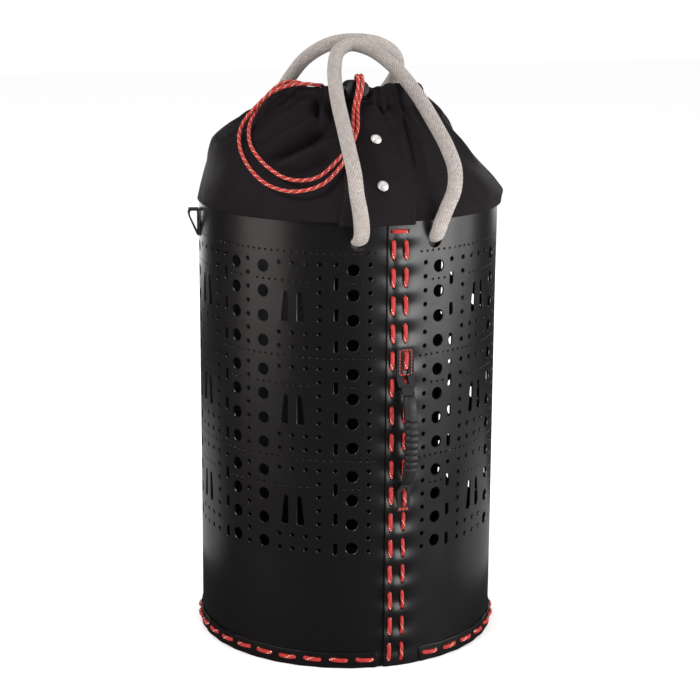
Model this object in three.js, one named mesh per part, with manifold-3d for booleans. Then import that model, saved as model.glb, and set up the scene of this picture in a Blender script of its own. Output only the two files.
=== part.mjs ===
// Rope storage bag: a perforated plastic bucket, laced up one seam, with a gathered cloth
// collar, two rope handles and a small grab handle. Millimetres, +Z up, the laced seam at -Y.
// The origin is the centre of the underside of the base.
import * as THREE from "three";
import { mergeGeometries, mergeVertices } from "three/addons/utils/BufferGeometryUtils.js";
import Module from "manifold-3d";

const wasm = await Module();
wasm.setup();

// ---- Driving dimensions -------------------------------------------------------------------
const GAP = 0.4; // clearance between pieces that touch
const GRID = 5; // degrees between the flats that stand for a round wall

const WALL_R = 150; // outside of the rolled sheet
const SHEET = 2; // sheet thickness
const WALL_TOP = 448;
const LAP_FROM = -5; // the sheet's inner end, degrees from the seam
const LAP_TO = 4.2; // the sheet's outer end, past the seam on the other side
const LAP_R = WALL_R + GAP + SHEET; // outside of the lapped end
const JOGGLE = [-9, -5.7]; // where the sheet steps out over its own inner end

const FIRST_COLUMN = 27.5; // first column of small holes, along the wall from the seam
const UNIT = 124.8; // the pattern repeats after this much wall
const LARGE_COLUMNS = [16, 106.5]; // from the start of a unit
const TAPER_COLUMNS = [70.6, 79.2]; // inner edges of the two tapered slots
const UNITS_PER_SIDE = 2;
const TIER_TOPS = [398, 297, 196]; // centre of the highest large hole of each tier
const LARGE_PITCH = 24.2;
const LARGE_PER_TIER = 4;
const LARGE_HOLE_R = 6.3;
const TAPER_TOP = -22; // top of a tapered slot, from the tier's highest large hole
const TAPER_HEIGHT = 30;
const TAPER_WIDTHS = [4.8, 8.6]; // at its top and at its bottom

const BASE_R = 147.4;
const BASE_PLATE = 2.5;
const BASE_FLANGE_TOP = 20;
const BAND_TOP = 15.5;
const BAND_THICK = 1.2;
const BAND_FROM = 6.5;
const BAND_TO = 350;
const LACE_R = 1.5; // radius of the lacing cord
const BASE_LACE_Z = 8.5;
const LACE_ROW = 2.4; // each lacing row, degrees from the seam

// The collar's outside: radius, height, and how much higher it stands on its high side.
const COLLAR = [
  [154.8, 437, 0],
  [154.9, 452, 1],
  [152, 468, 14],
  [143, 484, 19],
  [125, 502, 19],
  [106, 520, 14],
  [88, 536, 7],
  [72, 548, 2],
];
const COLLAR_HIGH_SIDE = 109; // degrees from the seam
const COLLAR_STEPS = 48;
const CLOTH_HEM = 1.8;
const CLOTH_CONE = 3; // measured level, so about 2 mm square to the slope
const FLAP = { from: 0, to: 22.5, firstRow: 1, lastRow: 6, thick: 1.8 };
const SNAPS = { upper: [6.3, 516], lower: [7.3, 477] }; // degrees from the seam, height
const SNAP_R = 6.5;

const CHANNEL = { outer: 72.5, inner: 60, wall: 2, bottom: 548.5, top: 557.5, from: 29, to: 362 };
const CORD_R = 1.8;
const LOCK = { x: -16, y: -66, bottom: 552.5, top: 567.5, left: -11.5, right: 11.5, depth: 16 };
const KNOT_AT = [-42, -26, 528]; // inside the mouth
const LOCK_CORDS = [1.6, 5.4]; // the two strands, from the lock's middle
const BUTTON = { width: 11, height: 8, front: -0.4, rear: 12.5, travel: 3 };

const ROPE_R = 7;
const HANDLE_HALF = 38; // half the distance between a handle's two holes
const HANDLE_Z = 424;
const HANDLE_PIVOT_Y = 154.5;
const HANDLE_HOLE_R = 8.2;
const KNOT_R = 15;

const GRAB = { x: 6.3, pivotY: -160.5, tabTop: 323, tabEnd: 293, footTop: 181, footEnd: 160 };
const EARS = { upper: 7, lower: 5 }; // how far each tab's ear rises or falls as it stands off
const TAB_THICK = 1.8;
const STRAP_THICK = 2.4;
const STRAP_WIDTH = 12;
const GRIP = { top: 278.5, bottom: 190.5, bow: 9, halfWidth: 7, halfDepth: 6, ribs: 8 };

const SIDE_LOOP_ANGLE = 100;
const SIDE_LOOP_WIDTH = 12;

const COLOURS = {
  shell: [0x1b1a1c, 0.42],
  base: [0x161617, 0.6],
  cloth: [0x121214, 0.95],
  webbing: [0x17171a, 0.9],
  lace: [0xd8442c, 0.8],
  rope: [0xb9b0a8, 0.9],
  rubber: [0x2a292b, 0.7],
  lock: [0x151518, 0.45],
  metal: [0xc9c9cc, 0.3],
};

// ---- Shared tools ---------------------------------------------------------------------------
const rad = THREE.MathUtils.degToRad;
const xy = ([x, y]) => new THREE.Vector2(x, y);
const xyz = ([x, y, z]) => new THREE.Vector3(x, y, z);

// Angles run from the seam towards -X.
function onCircle(angle, r) {
  return [-r * Math.sin(rad(angle)), -r * Math.cos(rad(angle))];
}

function onWall(angle, r, z) {
  return xyz([...onCircle(angle, r), z]);
}

function range(count, make) {
  return Array.from({ length: count }, (_, i) => make(i));
}

// The angles from one to the other, with a stop at every flat of the wall.
function anglesBetween(from, to) {
  const inner = range(Math.floor(to / GRID) - Math.ceil(from / GRID) + 1, (i) => {
    return (Math.ceil(from / GRID) + i) * GRID;
  });
  return [from, ...inner.filter((a) => a > from && a < to), to];
}

function solidOf(geometry) {
  const bare = geometry.clone();
  bare.deleteAttribute("normal");
  bare.deleteAttribute("uv");
  const merged = mergeVertices(bare, 1e-4);
  return new wasm.Manifold(
    new wasm.Mesh({
      numProp: 3,
      vertProperties: merged.attributes.position.array,
      triVerts: new Uint32Array(merged.index.array),
    }),
  );
}

function geometryOf(solid) {
  const mesh = solid.getMesh();
  return new THREE.BufferGeometry()
    .setAttribute("position", new THREE.BufferAttribute(new Float32Array(mesh.vertProperties), 3))
    .setIndex(new THREE.BufferAttribute(new Uint32Array(mesh.triVerts), 1));
}

function cut(geometry, ...cutters) {
  return geometryOf(cutters.reduce((s, c) => s.subtract(solidOf(c)), solidOf(geometry)));
}

function join(...geometries) {
  const [first, ...rest] = geometries.map(solidOf);
  return geometryOf(rest.reduce((s, other) => s.add(other), first));
}

function extrude(outline, depth) {
  const shape = new THREE.Shape(outline.map(xy));
  return new THREE.ExtrudeGeometry(shape, { depth, bevelEnabled: false });
}

// A round section swept along a smooth curve through the points.
function tube(points, r, steps, sides = 8) {
  const section = range(sides, (i) => onCircle((360 * i) / sides, r));
  return new THREE.ExtrudeGeometry(new THREE.Shape(section.map(xy)), {
    steps,
    bevelEnabled: false,
    extrudePath: new THREE.CatmullRomCurve3(points.map(xyz), false, "centripetal"),
  });
}

// Joins sections of equal point count into one skin. Open runs get end caps, which pair each
// point of a section with the one opposite it.
function skin(sections, closed) {
  const rows = sections.length;
  const n = sections[0].length;
  const index = [];
  const quad = (a, b, c, d) => index.push(a, b, c, a, c, d);
  for (let j = 0; j < (closed ? rows : rows - 1); j++) {
    const next = (j + 1) % rows;
    for (let i = 0; i < n; i++) {
      const k = (i + 1) % n;
      quad(j * n + i, j * n + k, next * n + k, next * n + i);
    }
  }
  if (!closed) {
    const last = (rows - 1) * n;
    for (let i = 0; i < n / 2 - 1; i++) {
      quad(n - 1 - i, n - 2 - i, i + 1, i);
      quad(last + i, last + i + 1, last + n - 2 - i, last + n - 1 - i);
    }
  }
  const positions = sections.flat().flatMap((p) => [p.x, p.y, p.z]);
  const geometry = new THREE.BufferGeometry()
    .setAttribute("position", new THREE.Float32BufferAttribute(positions, 3))
    .setIndex(index);
  if (solidOf(geometry).volume() < 0) geometry.index.array.reverse();
  return geometry;
}

// Moves a piece made around the origin, its +Z outwards, onto the wall.
function onto(geometry, angle, r, z) {
  const [ox, oy] = onCircle(angle, 1);
  const basis = new THREE.Matrix4().makeBasis(xyz([-oy, ox, 0]), xyz([0, 0, 1]), xyz([ox, oy, 0]));
  return geometry.clone().applyMatrix4(basis.setPosition(onWall(angle, r, z)));
}

const bag = new THREE.Group();

function add(name, geometry, look) {
  const [color, roughness] = COLOURS[look];
  const metalness = look === "metal" ? 1 : 0;
  const mesh = new THREE.Mesh(
    geometry,
    new THREE.MeshStandardMaterial({ color, roughness, metalness }),
  );
  mesh.name = name;
  bag.add(mesh);
  return mesh;
}

// ---- Shell ------------------------------------------------------------------------------------
function wallOutline() {
  const step = 360 + JOGGLE[0];
  const lap = 360 + JOGGLE[1];
  const end = 360 + LAP_TO;
  const face = (extra) => [
    ...anglesBetween(LAP_FROM, step).map((a) => onCircle(a, WALL_R - SHEET + extra)),
    ...anglesBetween(lap, end).map((a) => onCircle(a, LAP_R - SHEET + extra)),
  ];
  return [...face(SHEET), ...face(0).reverse()];
}

// The same pattern runs both ways from the seam, mirrored.
function patternAngles(column) {
  const arc = (unit) => THREE.MathUtils.radToDeg((FIRST_COLUMN + unit * UNIT + column) / WALL_R);
  return range(UNITS_PER_SIDE, arc).flatMap((a) => [a, -a]);
}

function largeHoles() {
  const drill = new THREE.CylinderGeometry(LARGE_HOLE_R, LARGE_HOLE_R, 12, 6);
  const hole = drill.rotateX(Math.PI / 2).toNonIndexed();
  const last = UNITS_PER_SIDE * UNIT + LARGE_COLUMNS[0];
  const lastAngle = THREE.MathUtils.radToDeg((FIRST_COLUMN + last) / WALL_R);
  const angles = [...LARGE_COLUMNS.flatMap(patternAngles), lastAngle, -lastAngle];
  const heights = TIER_TOPS.flatMap((top) => range(LARGE_PER_TIER, (i) => top - i * LARGE_PITCH));
  return angles.flatMap((a) => heights.map((z) => onto(hole, a, WALL_R, z)));
}

function taperedSlots() {
  const [topWidth, bottomWidth] = TAPER_WIDTHS;
  const slot = (way) => {
    return extrude(
      [
        [0, 0],
        [0, -TAPER_HEIGHT],
        [way * bottomWidth, -TAPER_HEIGHT],
        [way * topWidth, 0],
      ],
      12,
    ).translate(0, 0, -6);
  };
  // On the -X side a greater angle is to the viewer's left, and on the +X side to the right.
  return TAPER_COLUMNS.flatMap((column, i) =>
    patternAngles(column).flatMap((a) => {
      const way = (i === 0 ? 1 : -1) * Math.sign(a);
      return TIER_TOPS.map((top) => onto(slot(way), a, WALL_R, top + TAPER_TOP));
    }),
  );
}

function handleAngles() {
  const half = THREE.MathUtils.radToDeg(Math.asin(HANDLE_HALF / WALL_R));
  return [half, -half, 180 + half, 180 - half];
}

function shellWall() {
  const sheet = extrude(wallOutline(), WALL_TOP);
  const round = new THREE.CylinderGeometry(HANDLE_HOLE_R, HANDLE_HOLE_R, 20, 12);
  const ropeHoles = handleAngles().map((a) => {
    const [x, y] = onCircle(a, WALL_R);
    return round.clone().translate(x, y, HANDLE_Z);
  });
  return cut(sheet, mergeGeometries([...largeHoles(), ...taperedSlots()]), ...ropeHoles);
}

add("shell_wall", shellWall(), "shell");

// ---- Base -----------------------------------------------------------------------------------
function baseDisc() {
  const profile = [
    [0, 0],
    [BASE_R, 0],
    [BASE_R, BASE_FLANGE_TOP],
    [BASE_R - SHEET, BASE_FLANGE_TOP],
    [BASE_R - SHEET, BASE_PLATE],
    [0, BASE_PLATE],
  ];
  return new THREE.LatheGeometry(profile.map(xy), 72).rotateX(Math.PI / 2);
}

function baseBand() {
  const face = (r) => anglesBetween(BAND_FROM, BAND_TO).map((a) => onCircle(a, r));
  const inner = WALL_R + GAP;
  return extrude([...face(inner + BAND_THICK), ...face(inner).reverse()], BAND_TOP);
}

// Plain cords on the outside: the lacing's dips through the sheet are left to the finished skin.
function baseLace() {
  const r = WALL_R + BAND_THICK + 2 * GAP + LACE_R;
  const stops = anglesBetween(BAND_FROM + 2, BAND_TO - 2);
  return tube(stops.map((a) => [...onCircle(a, r), BASE_LACE_Z]), LACE_R, stops.length - 1, 6);
}

// Up one row, across the hem and down the other. It goes over the grab handle's two tabs and
// through their slots, so it lies on the sheet again behind the grip.
function seamLace() {
  const onSheet = LAP_R + GAP + LACE_R;
  const onTab = onSheet + TAB_THICK + 2 * GAP;
  const onHem = COLLAR[0][0] + 2 * GAP + LACE_R;
  const row = (side, levels) => {
    const points = levels.flatMap(([r, heights]) => heights.map((z) => [r, z]));
    return points.map(([r, z]) => [...onCircle(side * LACE_ROW, r), z]);
  };
  const plain = [[onSheet, [3, 200, 398]]];
  const overTabs = [
    [onSheet, [3, 60, 120, 141, 148]],
    [onTab, [156, 163, 170]],
    [onSheet, [180, 190, 230, 270, 286, 293]],
    [onTab, [304, 312, 322, 328]],
    [onSheet, [337, 345, 370, 398]],
  ];
  const crossing = [
    [onSheet, [394, 404, 414]],
    [onHem, [426, 434, 440]],
  ];
  const top = [LACE_ROW * 0.8, 0, -LACE_ROW * 0.8].map((a) => [...onCircle(a, onHem), 443]);
  return join(
    tube(row(1, plain), LACE_R, 8, 6),
    tube(row(-1, overTabs), LACE_R, 56, 6),
    tube([...row(1, crossing), ...top, ...row(-1, crossing).reverse()], LACE_R - 0.05, 24, 6),
  );
}

add("base_disc", baseDisc(), "base");
add("base_band", baseBand(), "shell");
add("base_lace", baseLace(), "lace");
add("seam_lace", seamLace(), "lace");

// ---- Collar -----------------------------------------------------------------------------------
function tilt(angle, amount) {
  return amount * Math.cos(rad(angle - COLLAR_HIGH_SIDE));
}

// A point of the collar's outside, moved outwards by a level distance.
function onCollar(row, angle, out) {
  const [r, z, high] = COLLAR[row];
  return onWall(angle, r + out, z + tilt(angle, high));
}

function collar() {
  const thick = (row) => (row < 2 ? CLOTH_HEM : CLOTH_CONE);
  const section = (angle) => [
    ...COLLAR.map((_, row) => onCollar(row, angle, 0)),
    ...COLLAR.map((_, row) => onCollar(row, angle, -thick(row))).reverse(),
  ];
  return skin(range(COLLAR_STEPS, (i) => section((360 * i) / COLLAR_STEPS)), true);
}

// The overlap at the front that the two snaps close.
function flap() {
  const rows = range(FLAP.lastRow - FLAP.firstRow + 1, (i) => FLAP.firstRow + i);
  const step = 360 / COLLAR_STEPS;
  const section = (angle) => [
    ...rows.map((row) => onCollar(row, angle, GAP + 0.2 + FLAP.thick)),
    ...rows.map((row) => onCollar(row, angle, GAP + 0.2)).reverse(),
  ];
  const count = Math.round((FLAP.to - FLAP.from) / step) + 1;
  return skin(range(count, (i) => section(FLAP.from + i * step)), false);
}

// Stands a turned piece square to the collar at a height, its foot a level distance out.
function ontoCollar(geometry, angle, z, out) {
  const at = (row) => COLLAR[row][1] + tilt(angle, COLLAR[row][2]);
  const row = COLLAR.findIndex((_, i) => at(i) <= z && at(i + 1) > z);
  const share = (z - at(row)) / (at(row + 1) - at(row));
  const slope = xy([COLLAR[row + 1][0] - COLLAR[row][0], at(row + 1) - at(row)]).normalize();
  const flat = Math.cos(rad(180 / COLLAR_STEPS)); // the middle of a flat lies inside the circle
  const r = THREE.MathUtils.lerp(COLLAR[row][0], COLLAR[row + 1][0], share) + out;
  const [ox, oy] = onCircle(angle, 1);
  const normal = xyz([ox * slope.y, oy * slope.y, -slope.x]);
  const turn = new THREE.Quaternion().setFromUnitVectors(xyz([0, 0, 1]), normal);
  const place = new THREE.Matrix4().makeRotationFromQuaternion(turn);
  return geometry.applyMatrix4(place.setPosition(onWall(angle, r * flat, z)));
}

function snapCap() {
  const profile = [
    [0, 0],
    [SNAP_R, 0],
    [SNAP_R, 0.8],
    [4.9, 1],
    [4.3, 2.2],
    [2.4, 3],
    [0, 3.2],
  ];
  return new THREE.LatheGeometry(profile.map(xy), 12).rotateX(Math.PI / 2);
}

function snapSocket() {
  const profile = [
    [1.8, 0],
    [SNAP_R - 1, 0],
    [SNAP_R - 1, 1.4],
    [1.8, 1.4],
    [1.8, 0],
  ];
  return new THREE.LatheGeometry(profile.map(xy), 12).rotateX(Math.PI / 2);
}

add("collar", collar(), "cloth");
add("collar_flap", flap(), "cloth");
for (const [where, [angle, z]] of Object.entries(SNAPS)) {
  const outside = FLAP.thick + 2 * GAP + 0.9;
  const inside = -CLOTH_CONE - 3;
  add(`snap_cap_${where}`, ontoCollar(snapCap(), angle, z, outside), "metal");
  add(`snap_socket_${where}`, ontoCollar(snapSocket(), angle, z, inside), "metal");
}

// ---- Drawcord ---------------------------------------------------------------------------------
// The hem that carries the drawcord: cloth folded over, open underneath.
function channel() {
  const { outer, inner, wall, bottom, top, from, to } = CHANNEL;
  const fold = [
    [outer, bottom],
    [outer, top],
    [inner, top],
    [inner, bottom],
    [inner + wall, bottom],
    [inner + wall, top - wall],
    [outer - wall, top - wall],
    [outer - wall, bottom],
  ];
  const high = COLLAR.at(-1)[2];
  const steps = 44;
  const section = (a) => fold.map(([r, z]) => onWall(a, r, z + tilt(a, high)));
  return skin(range(steps + 1, (i) => section(from + ((to - from) * i) / steps)), false);
}

// Runs round inside the channel; both ends turn up under the cord lock.
function drawcordRing() {
  const { inner, wall, bottom, from, to } = CHANNEL;
  const r = inner + wall + CORD_R + 0.8;
  const z = bottom + CORD_R + 0.6;
  const high = COLLAR.at(-1)[2];
  const run = range(28, (i) => from + 1 + ((to - from - 2) * i) / 27);
  const [right, left] = LOCK_CORDS.map((x) => LOCK.x + x).reverse();
  const low = LOCK.bottom - 5;
  const end = LOCK.bottom - GAP - 0.7;
  return tube(
    [
      [left, LOCK.y + 3.3, end],
      [left - 2, LOCK.y + 3.3, low],
      [left - 9, LOCK.y + 4.4, low - 1],
      ...run.map((a) => [...onCircle(a, r), z + tilt(a, high)]),
      [right + 2, LOCK.y + 3.3, low],
      [right, LOCK.y + 3.3, end],
    ],
    CORD_R,
    50,
  );
}

// Each strand leaves the top of the lock, hangs down the front, swings round to the left and
// goes back over the collar's edge to the knot inside.
const STRANDS = {
  outer: [
    [LOCK.x + LOCK_CORDS[1], LOCK.y + 3.3, LOCK.bottom - 0.3],
    [LOCK.x + LOCK_CORDS[1], LOCK.y + 3.3, LOCK.top + 0.8],
    [-10.8, -65, 571.2],
    [-11.4, -71, 572.3],
    [-12.5, -77.5, 568.5],
    [-14, -80, 560],
    [-19, -84, 546],
    [-28, -108, 525],
    [-38, -119, 511],
    [-48, -129, 499],
    [-72, -138, 480],
    [-96, -129, 473],
    [-116, -108, 477],
    [-128, -80, 493],
    [-127, -49, 513],
    [-119, -36, 527],
    [-103, -31, 543],
    [-87, -30, 555],
    [-71, -38, 562],
    [-59, -48, 563.5],
    [-49, -50, 562.3],
    [-42, -43, 561],
    [-37, -37, 556],
    [-36, -32, 546],
    [-39, -28, 535],
  ],
  inner: [
    [LOCK.x + LOCK_CORDS[0], LOCK.y + 3.3, LOCK.bottom - 0.3],
    [LOCK.x + LOCK_CORDS[0], LOCK.y + 3.3, LOCK.top + 0.8],
    [-14.8, -65, 571.2],
    [-15.4, -71, 572.3],
    [-16.8, -77.5, 568.5],
    [-18.5, -80, 559],
    [-24, -86, 543],
    [-32.5, -107.5, 523],
    [-42.5, -118.5, 509],
    [-52, -126, 501.5],
    [-76, -132.5, 485.5],
    [-98, -120, 483],
    [-113, -100, 492],
    [-121, -71, 508],
    [-116, -46, 523],
    [-108, -33, 533],
    [-95, -20, 545],
    [-80, -16, 558],
    [-70, -19, 563],
    [-60, -21, 562.5],
    [-53.5, -22, 560],
    [-49, -22.5, 553],
    [-46.5, -23, 545],
    [-44.5, -24, 535],
  ],
};

function drawcordKnot() {
  const [x, y, z] = KNOT_AT;
  const body = new THREE.SphereGeometry(6.5, 10, 8).scale(1, 1.2, 0.85).translate(x, y, z);
  const tail = (dx, dy) => {
    const points = [
      [x, y, z],
      [x + dx, y + dy, z - 12],
      [x + dx + 1, y + dy, z - 28],
    ];
    return tube(points, CORD_R, 5);
  };
  return join(body, tail(2.5, -4), tail(-1.5, 4));
}

function boxAt([x0, x1], [y0, y1], [z0, z1]) {
  const box = new THREE.BoxGeometry(x1 - x0, y1 - y0, z1 - z0);
  return box.translate((x0 + x1) / 2, (y0 + y1) / 2, (z0 + z1) / 2);
}

// The strands stand in a slot across the lock; the sprung button's slot grips them.
function lockSlot(reach) {
  const [a, b] = LOCK_CORDS;
  const side = CORD_R + 0.4;
  return boxAt([a - side, b + side], [3.3 - side, 3.3 + side + reach], [-12, 12]);
}

function lockBody() {
  const { left, right, bottom, top, depth } = LOCK;
  const half = (top - bottom) / 2;
  const shape = new THREE.Shape();
  shape.moveTo(left + half, -half);
  shape.lineTo(right - half, -half);
  shape.absarc(right - half, 0, half, -Math.PI / 2, Math.PI / 2);
  shape.lineTo(left + half, half);
  shape.absarc(left + half, 0, half, Math.PI / 2, (3 * Math.PI) / 2);
  const options = { depth, bevelEnabled: false, curveSegments: 6 };
  const barrel = new THREE.ExtrudeGeometry(shape, options).rotateX(Math.PI / 2);
  const bore = boxAt(
    [-BUTTON.width / 2 - GAP, BUTTON.width / 2 + GAP],
    [-depth / 2 + 2, depth],
    [-BUTTON.height / 2 - GAP, BUTTON.height / 2 + GAP],
  ).translate(3.5, 0, 0);
  return cut(barrel.translate(0, depth / 2, 0), bore, lockSlot(0));
}

function lockButton() {
  const { width, height, front, rear, travel } = BUTTON;
  const bar = boxAt([3.5 - width / 2, 3.5 + width / 2], [front, rear], [-height / 2, height / 2]);
  return cut(bar, lockSlot(travel));
}

function lockSpring() {
  const turns = 3.5;
  const wire = 0.45;
  const start = -LOCK.depth / 2 + 2 + wire + 0.2;
  const end = BUTTON.front - wire - 0.2;
  const points = range(25, (i) => {
    const t = (i / 24) * turns * 2 * Math.PI;
    return [3.5 + 2.9 * Math.cos(t), start + ((end - start) * i) / 24, 2.9 * Math.sin(t)];
  });
  return tube(points, wire, 28, 5);
}

const lockMiddle = xyz([LOCK.x, LOCK.y, (LOCK.top + LOCK.bottom) / 2]);
add("drawcord_channel", channel(), "cloth");
add("drawcord_ring", drawcordRing(), "lace");
for (const [where, points] of Object.entries(STRANDS)) {
  add(`drawcord_strand_${where}`, tube(points, CORD_R, 56), "lace");
}
add("drawcord_knot", drawcordKnot(), "lace");
add("cord_lock_body", lockBody(), "lock").position.copy(lockMiddle);
add("cord_lock_button", lockButton(), "lock").position.copy(lockMiddle);
add("cord_lock_spring", lockSpring(), "metal").position.copy(lockMiddle);

// ---- Rope handles -------------------------------------------------------------------------------
// One leg of an arch, from its pivot just outside the wall to the top: half width, reach from
// the wall's centre line, height, and sideways lean.
const ARCHES = {
  front: [
    [38, 154.5, 424, 0],
    [39, 164, 434, 0],
    [43.5, 169, 453, 0],
    [48, 169, 474, 0],
    [49.5, 163, 492, 0],
    [48.5, 145, 511, 0],
    [46, 124, 527, 0],
    [40, 82, 556, 0],
    [30, 45, 578.5, 0],
    [16, 18, 592.5, 0],
    [0, 9, 597, 0],
  ],
  rear: [
    [38, 154.5, 424, 0],
    [40, 164, 434, 0],
    [46, 169, 453, 0],
    [52, 168, 474, 5],
    [55, 161, 493, 9],
    [57, 143, 513, 14],
    [58, 120, 530, 18],
    [57, 78, 560.5, 22],
    [46, 42, 582, 17],
    [24, 16, 596, 10],
    [0, 9, 599.5, 5],
  ],
};

function arch(leg, side) {
  const half = (way) => leg.map(([w, y, z, lean]) => [way * w + lean, side * y, z]);
  const rope = tube([...half(-1), ...half(1).reverse().slice(1)], ROPE_R, 40, 10);
  const ends = [-1, 1].map((way) => {
    const ball = new THREE.SphereGeometry(ROPE_R, 10, 6);
    return ball.translate(way * HANDLE_HALF, side * HANDLE_PIVOT_Y, HANDLE_Z);
  });
  return join(rope, ...ends);
}

// The rope's end: through the wall, with a stopper knot inside.
function stopper(way, side) {
  const out = HANDLE_PIVOT_Y - ROPE_R - GAP;
  const shank = new THREE.CylinderGeometry(ROPE_R, ROPE_R, 22, 10).translate(0, out - 11, 0);
  const knot = new THREE.SphereGeometry(KNOT_R, 12, 8).scale(1, 0.75, 1);
  const piece = join(shank, knot.translate(0, out - 21, 0)).rotateZ(side > 0 ? 0 : Math.PI);
  return piece.translate(way * HANDLE_HALF, 0, HANDLE_Z);
}

for (const [where, side] of [
  ["front", -1],
  ["rear", 1],
]) {
  add(`${where}_handle_rope`, arch(ARCHES[where], side), "rope");
  add(`${where}_knot_left`, stopper(-1, side), "rope");
  add(`${where}_knot_right`, stopper(1, side), "rope");
}

// ---- Grab handle --------------------------------------------------------------------------------
// Webbing tabs on the seam, each with an ear that stands off the wall to carry the strap.
function tab(top, bottom, earAtBottom, width, ear) {
  const y = -(LAP_R + GAP);
  const out = GRAB.pivotY - STRAP_THICK / 2;
  const [far, near] = earAtBottom ? [top, bottom] : [bottom, top];
  const way = earAtBottom ? -1 : 1;
  const tip = near + way * ear;
  const side = [
    [y, far],
    [y, near],
    [out + STRAP_THICK, tip],
    [out, tip],
    [y - TAB_THICK, near - way * 1.5],
    [y - TAB_THICK, far],
  ];
  const slab = extrude(side, width).rotateX(Math.PI / 2).rotateZ(Math.PI / 2);
  const slotEnds = [near + way * (ear - 2), near - way * 10.5];
  const slot = boxAt([-2.5, 2.5], [-170, -140], [Math.min(...slotEnds), Math.max(...slotEnds)]);
  return cut(slab.translate(-width / 2, 0, 0), slot).translate(GRAB.x, 0, 0);
}

function strap(from, to) {
  const [y0, z0] = from;
  const [y1, z1] = to;
  const side = [
    [y0 - STRAP_THICK / 2, z0],
    [y0 + STRAP_THICK / 2, z0],
    [y1 + STRAP_THICK / 2, z1],
    [y1 - STRAP_THICK / 2, z1],
  ];
  const slab = extrude(side, STRAP_WIDTH).rotateX(Math.PI / 2).rotateZ(Math.PI / 2);
  return slab.translate(GRAB.x - STRAP_WIDTH / 2, 0, 0);
}

// Bowed away from the wall, with ribs along the middle and a smooth neck at each end.
function grip() {
  const { top, bottom, bow, halfWidth, halfDepth, ribs } = GRIP;
  const neck = 17;
  const pitch = (top - bottom - 2 * neck) / ribs;
  const stations = [
    [top, 0.7],
    [top - 5, 0.95],
    [top - neck, 1],
    ...range(ribs, (i) => top - neck - i * pitch).flatMap((z) => [
      [z - 0.25 * pitch, 0.86],
      [z - 0.6 * pitch, 1],
      [z - pitch, 1],
    ]),
    [bottom + 5, 0.95],
    [bottom, 0.7],
  ];
  const middle = (top + bottom) / 2;
  const span = (top - bottom) / 2;
  const section = ([z, size]) => {
    const y = GRAB.pivotY - 4.5 - bow * (1 - ((z - middle) / span) ** 2);
    return range(10, (i) => {
      const [u, v] = onCircle(36 * i + 18, size);
      return xyz([GRAB.x + u * halfWidth, y + v * halfDepth, z]);
    });
  };
  return skin(stations.map(section), false);
}

const earTip = GRAB.tabEnd - EARS.upper;
const footTip = GRAB.footTop + EARS.lower;
add("grab_tab_upper", tab(GRAB.tabTop, GRAB.tabEnd, true, 17, EARS.upper), "webbing");
add("grab_tab_lower", tab(GRAB.footTop, GRAB.footEnd, false, 13, EARS.lower), "webbing");
const upperStrap = strap([GRAB.pivotY, earTip - GAP], [GRAB.pivotY - 4.5, GRIP.top + GAP]);
const lowerStrap = strap([GRAB.pivotY, footTip + GAP], [GRAB.pivotY - 4.5, GRIP.bottom - GAP]);
add("grab_strap_upper", upperStrap, "webbing");
add("grab_strap_lower", lowerStrap, "webbing");
add("grab_grip", grip(), "rubber");

// ---- Side loops ---------------------------------------------------------------------------------
function sideLoop() {
  const outer = [
    [0.6, 435.6],
    [10.2, 435.6],
    [11.4, 431],
    [10.3, 426.6],
    [3.2, 410],
    [0.6, 408],
  ];
  const inner = [
    [2, 433.8],
    [9, 433.8],
    [9.8, 431],
    [9, 427.6],
    [2, 413],
  ];
  const eye = extrude(inner, 2 * SIDE_LOOP_WIDTH).translate(0, 0, -SIDE_LOOP_WIDTH / 2);
  const loop = cut(extrude(outer, SIDE_LOOP_WIDTH), eye).translate(0, 0, -SIDE_LOOP_WIDTH / 2);
  return loop.rotateX(Math.PI / 2).translate(WALL_R, 0, 0);
}

for (const [where, angle] of [
  ["left", SIDE_LOOP_ANGLE],
  ["right", -SIDE_LOOP_ANGLE],
]) {
  add(`side_loop_${where}`, sideLoop(), "webbing").rotation.z = rad(-90 - angle);
}

export default bag;
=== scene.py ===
"""The looks of the rope storage bag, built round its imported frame.

Sizes below are in millimetres and the meshes in metres, +Z up, with the laced seam at -Y.
Angles round the bag are in degrees from the seam towards -X.
"""

import math
import random

import bmesh
import bpy
import numpy as np
from mathutils import Matrix, Vector
from mathutils.geometry import delaunay_2d_cdt


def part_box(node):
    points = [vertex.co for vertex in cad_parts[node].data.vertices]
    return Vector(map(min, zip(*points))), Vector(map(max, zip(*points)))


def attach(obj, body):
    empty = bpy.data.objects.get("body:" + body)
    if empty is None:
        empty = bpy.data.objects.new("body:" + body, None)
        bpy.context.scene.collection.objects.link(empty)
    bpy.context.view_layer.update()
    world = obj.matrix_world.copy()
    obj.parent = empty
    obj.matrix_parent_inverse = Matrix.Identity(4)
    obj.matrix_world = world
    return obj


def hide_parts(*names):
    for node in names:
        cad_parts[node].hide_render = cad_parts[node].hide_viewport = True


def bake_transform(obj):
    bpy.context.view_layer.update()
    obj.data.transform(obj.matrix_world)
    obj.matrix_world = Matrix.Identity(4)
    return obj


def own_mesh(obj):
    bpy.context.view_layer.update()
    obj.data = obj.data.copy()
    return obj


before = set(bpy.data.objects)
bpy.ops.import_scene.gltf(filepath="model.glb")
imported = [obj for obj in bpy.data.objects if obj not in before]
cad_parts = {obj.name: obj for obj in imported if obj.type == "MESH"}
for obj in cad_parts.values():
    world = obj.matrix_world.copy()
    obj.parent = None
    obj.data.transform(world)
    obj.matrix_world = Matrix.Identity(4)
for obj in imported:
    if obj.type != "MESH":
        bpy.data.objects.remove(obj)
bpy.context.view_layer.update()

MM = 0.001
TAU = 2 * math.pi


# ---- Sizes ----
def box_mm(node):
    low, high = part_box(node)
    return low / MM, high / MM


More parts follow.
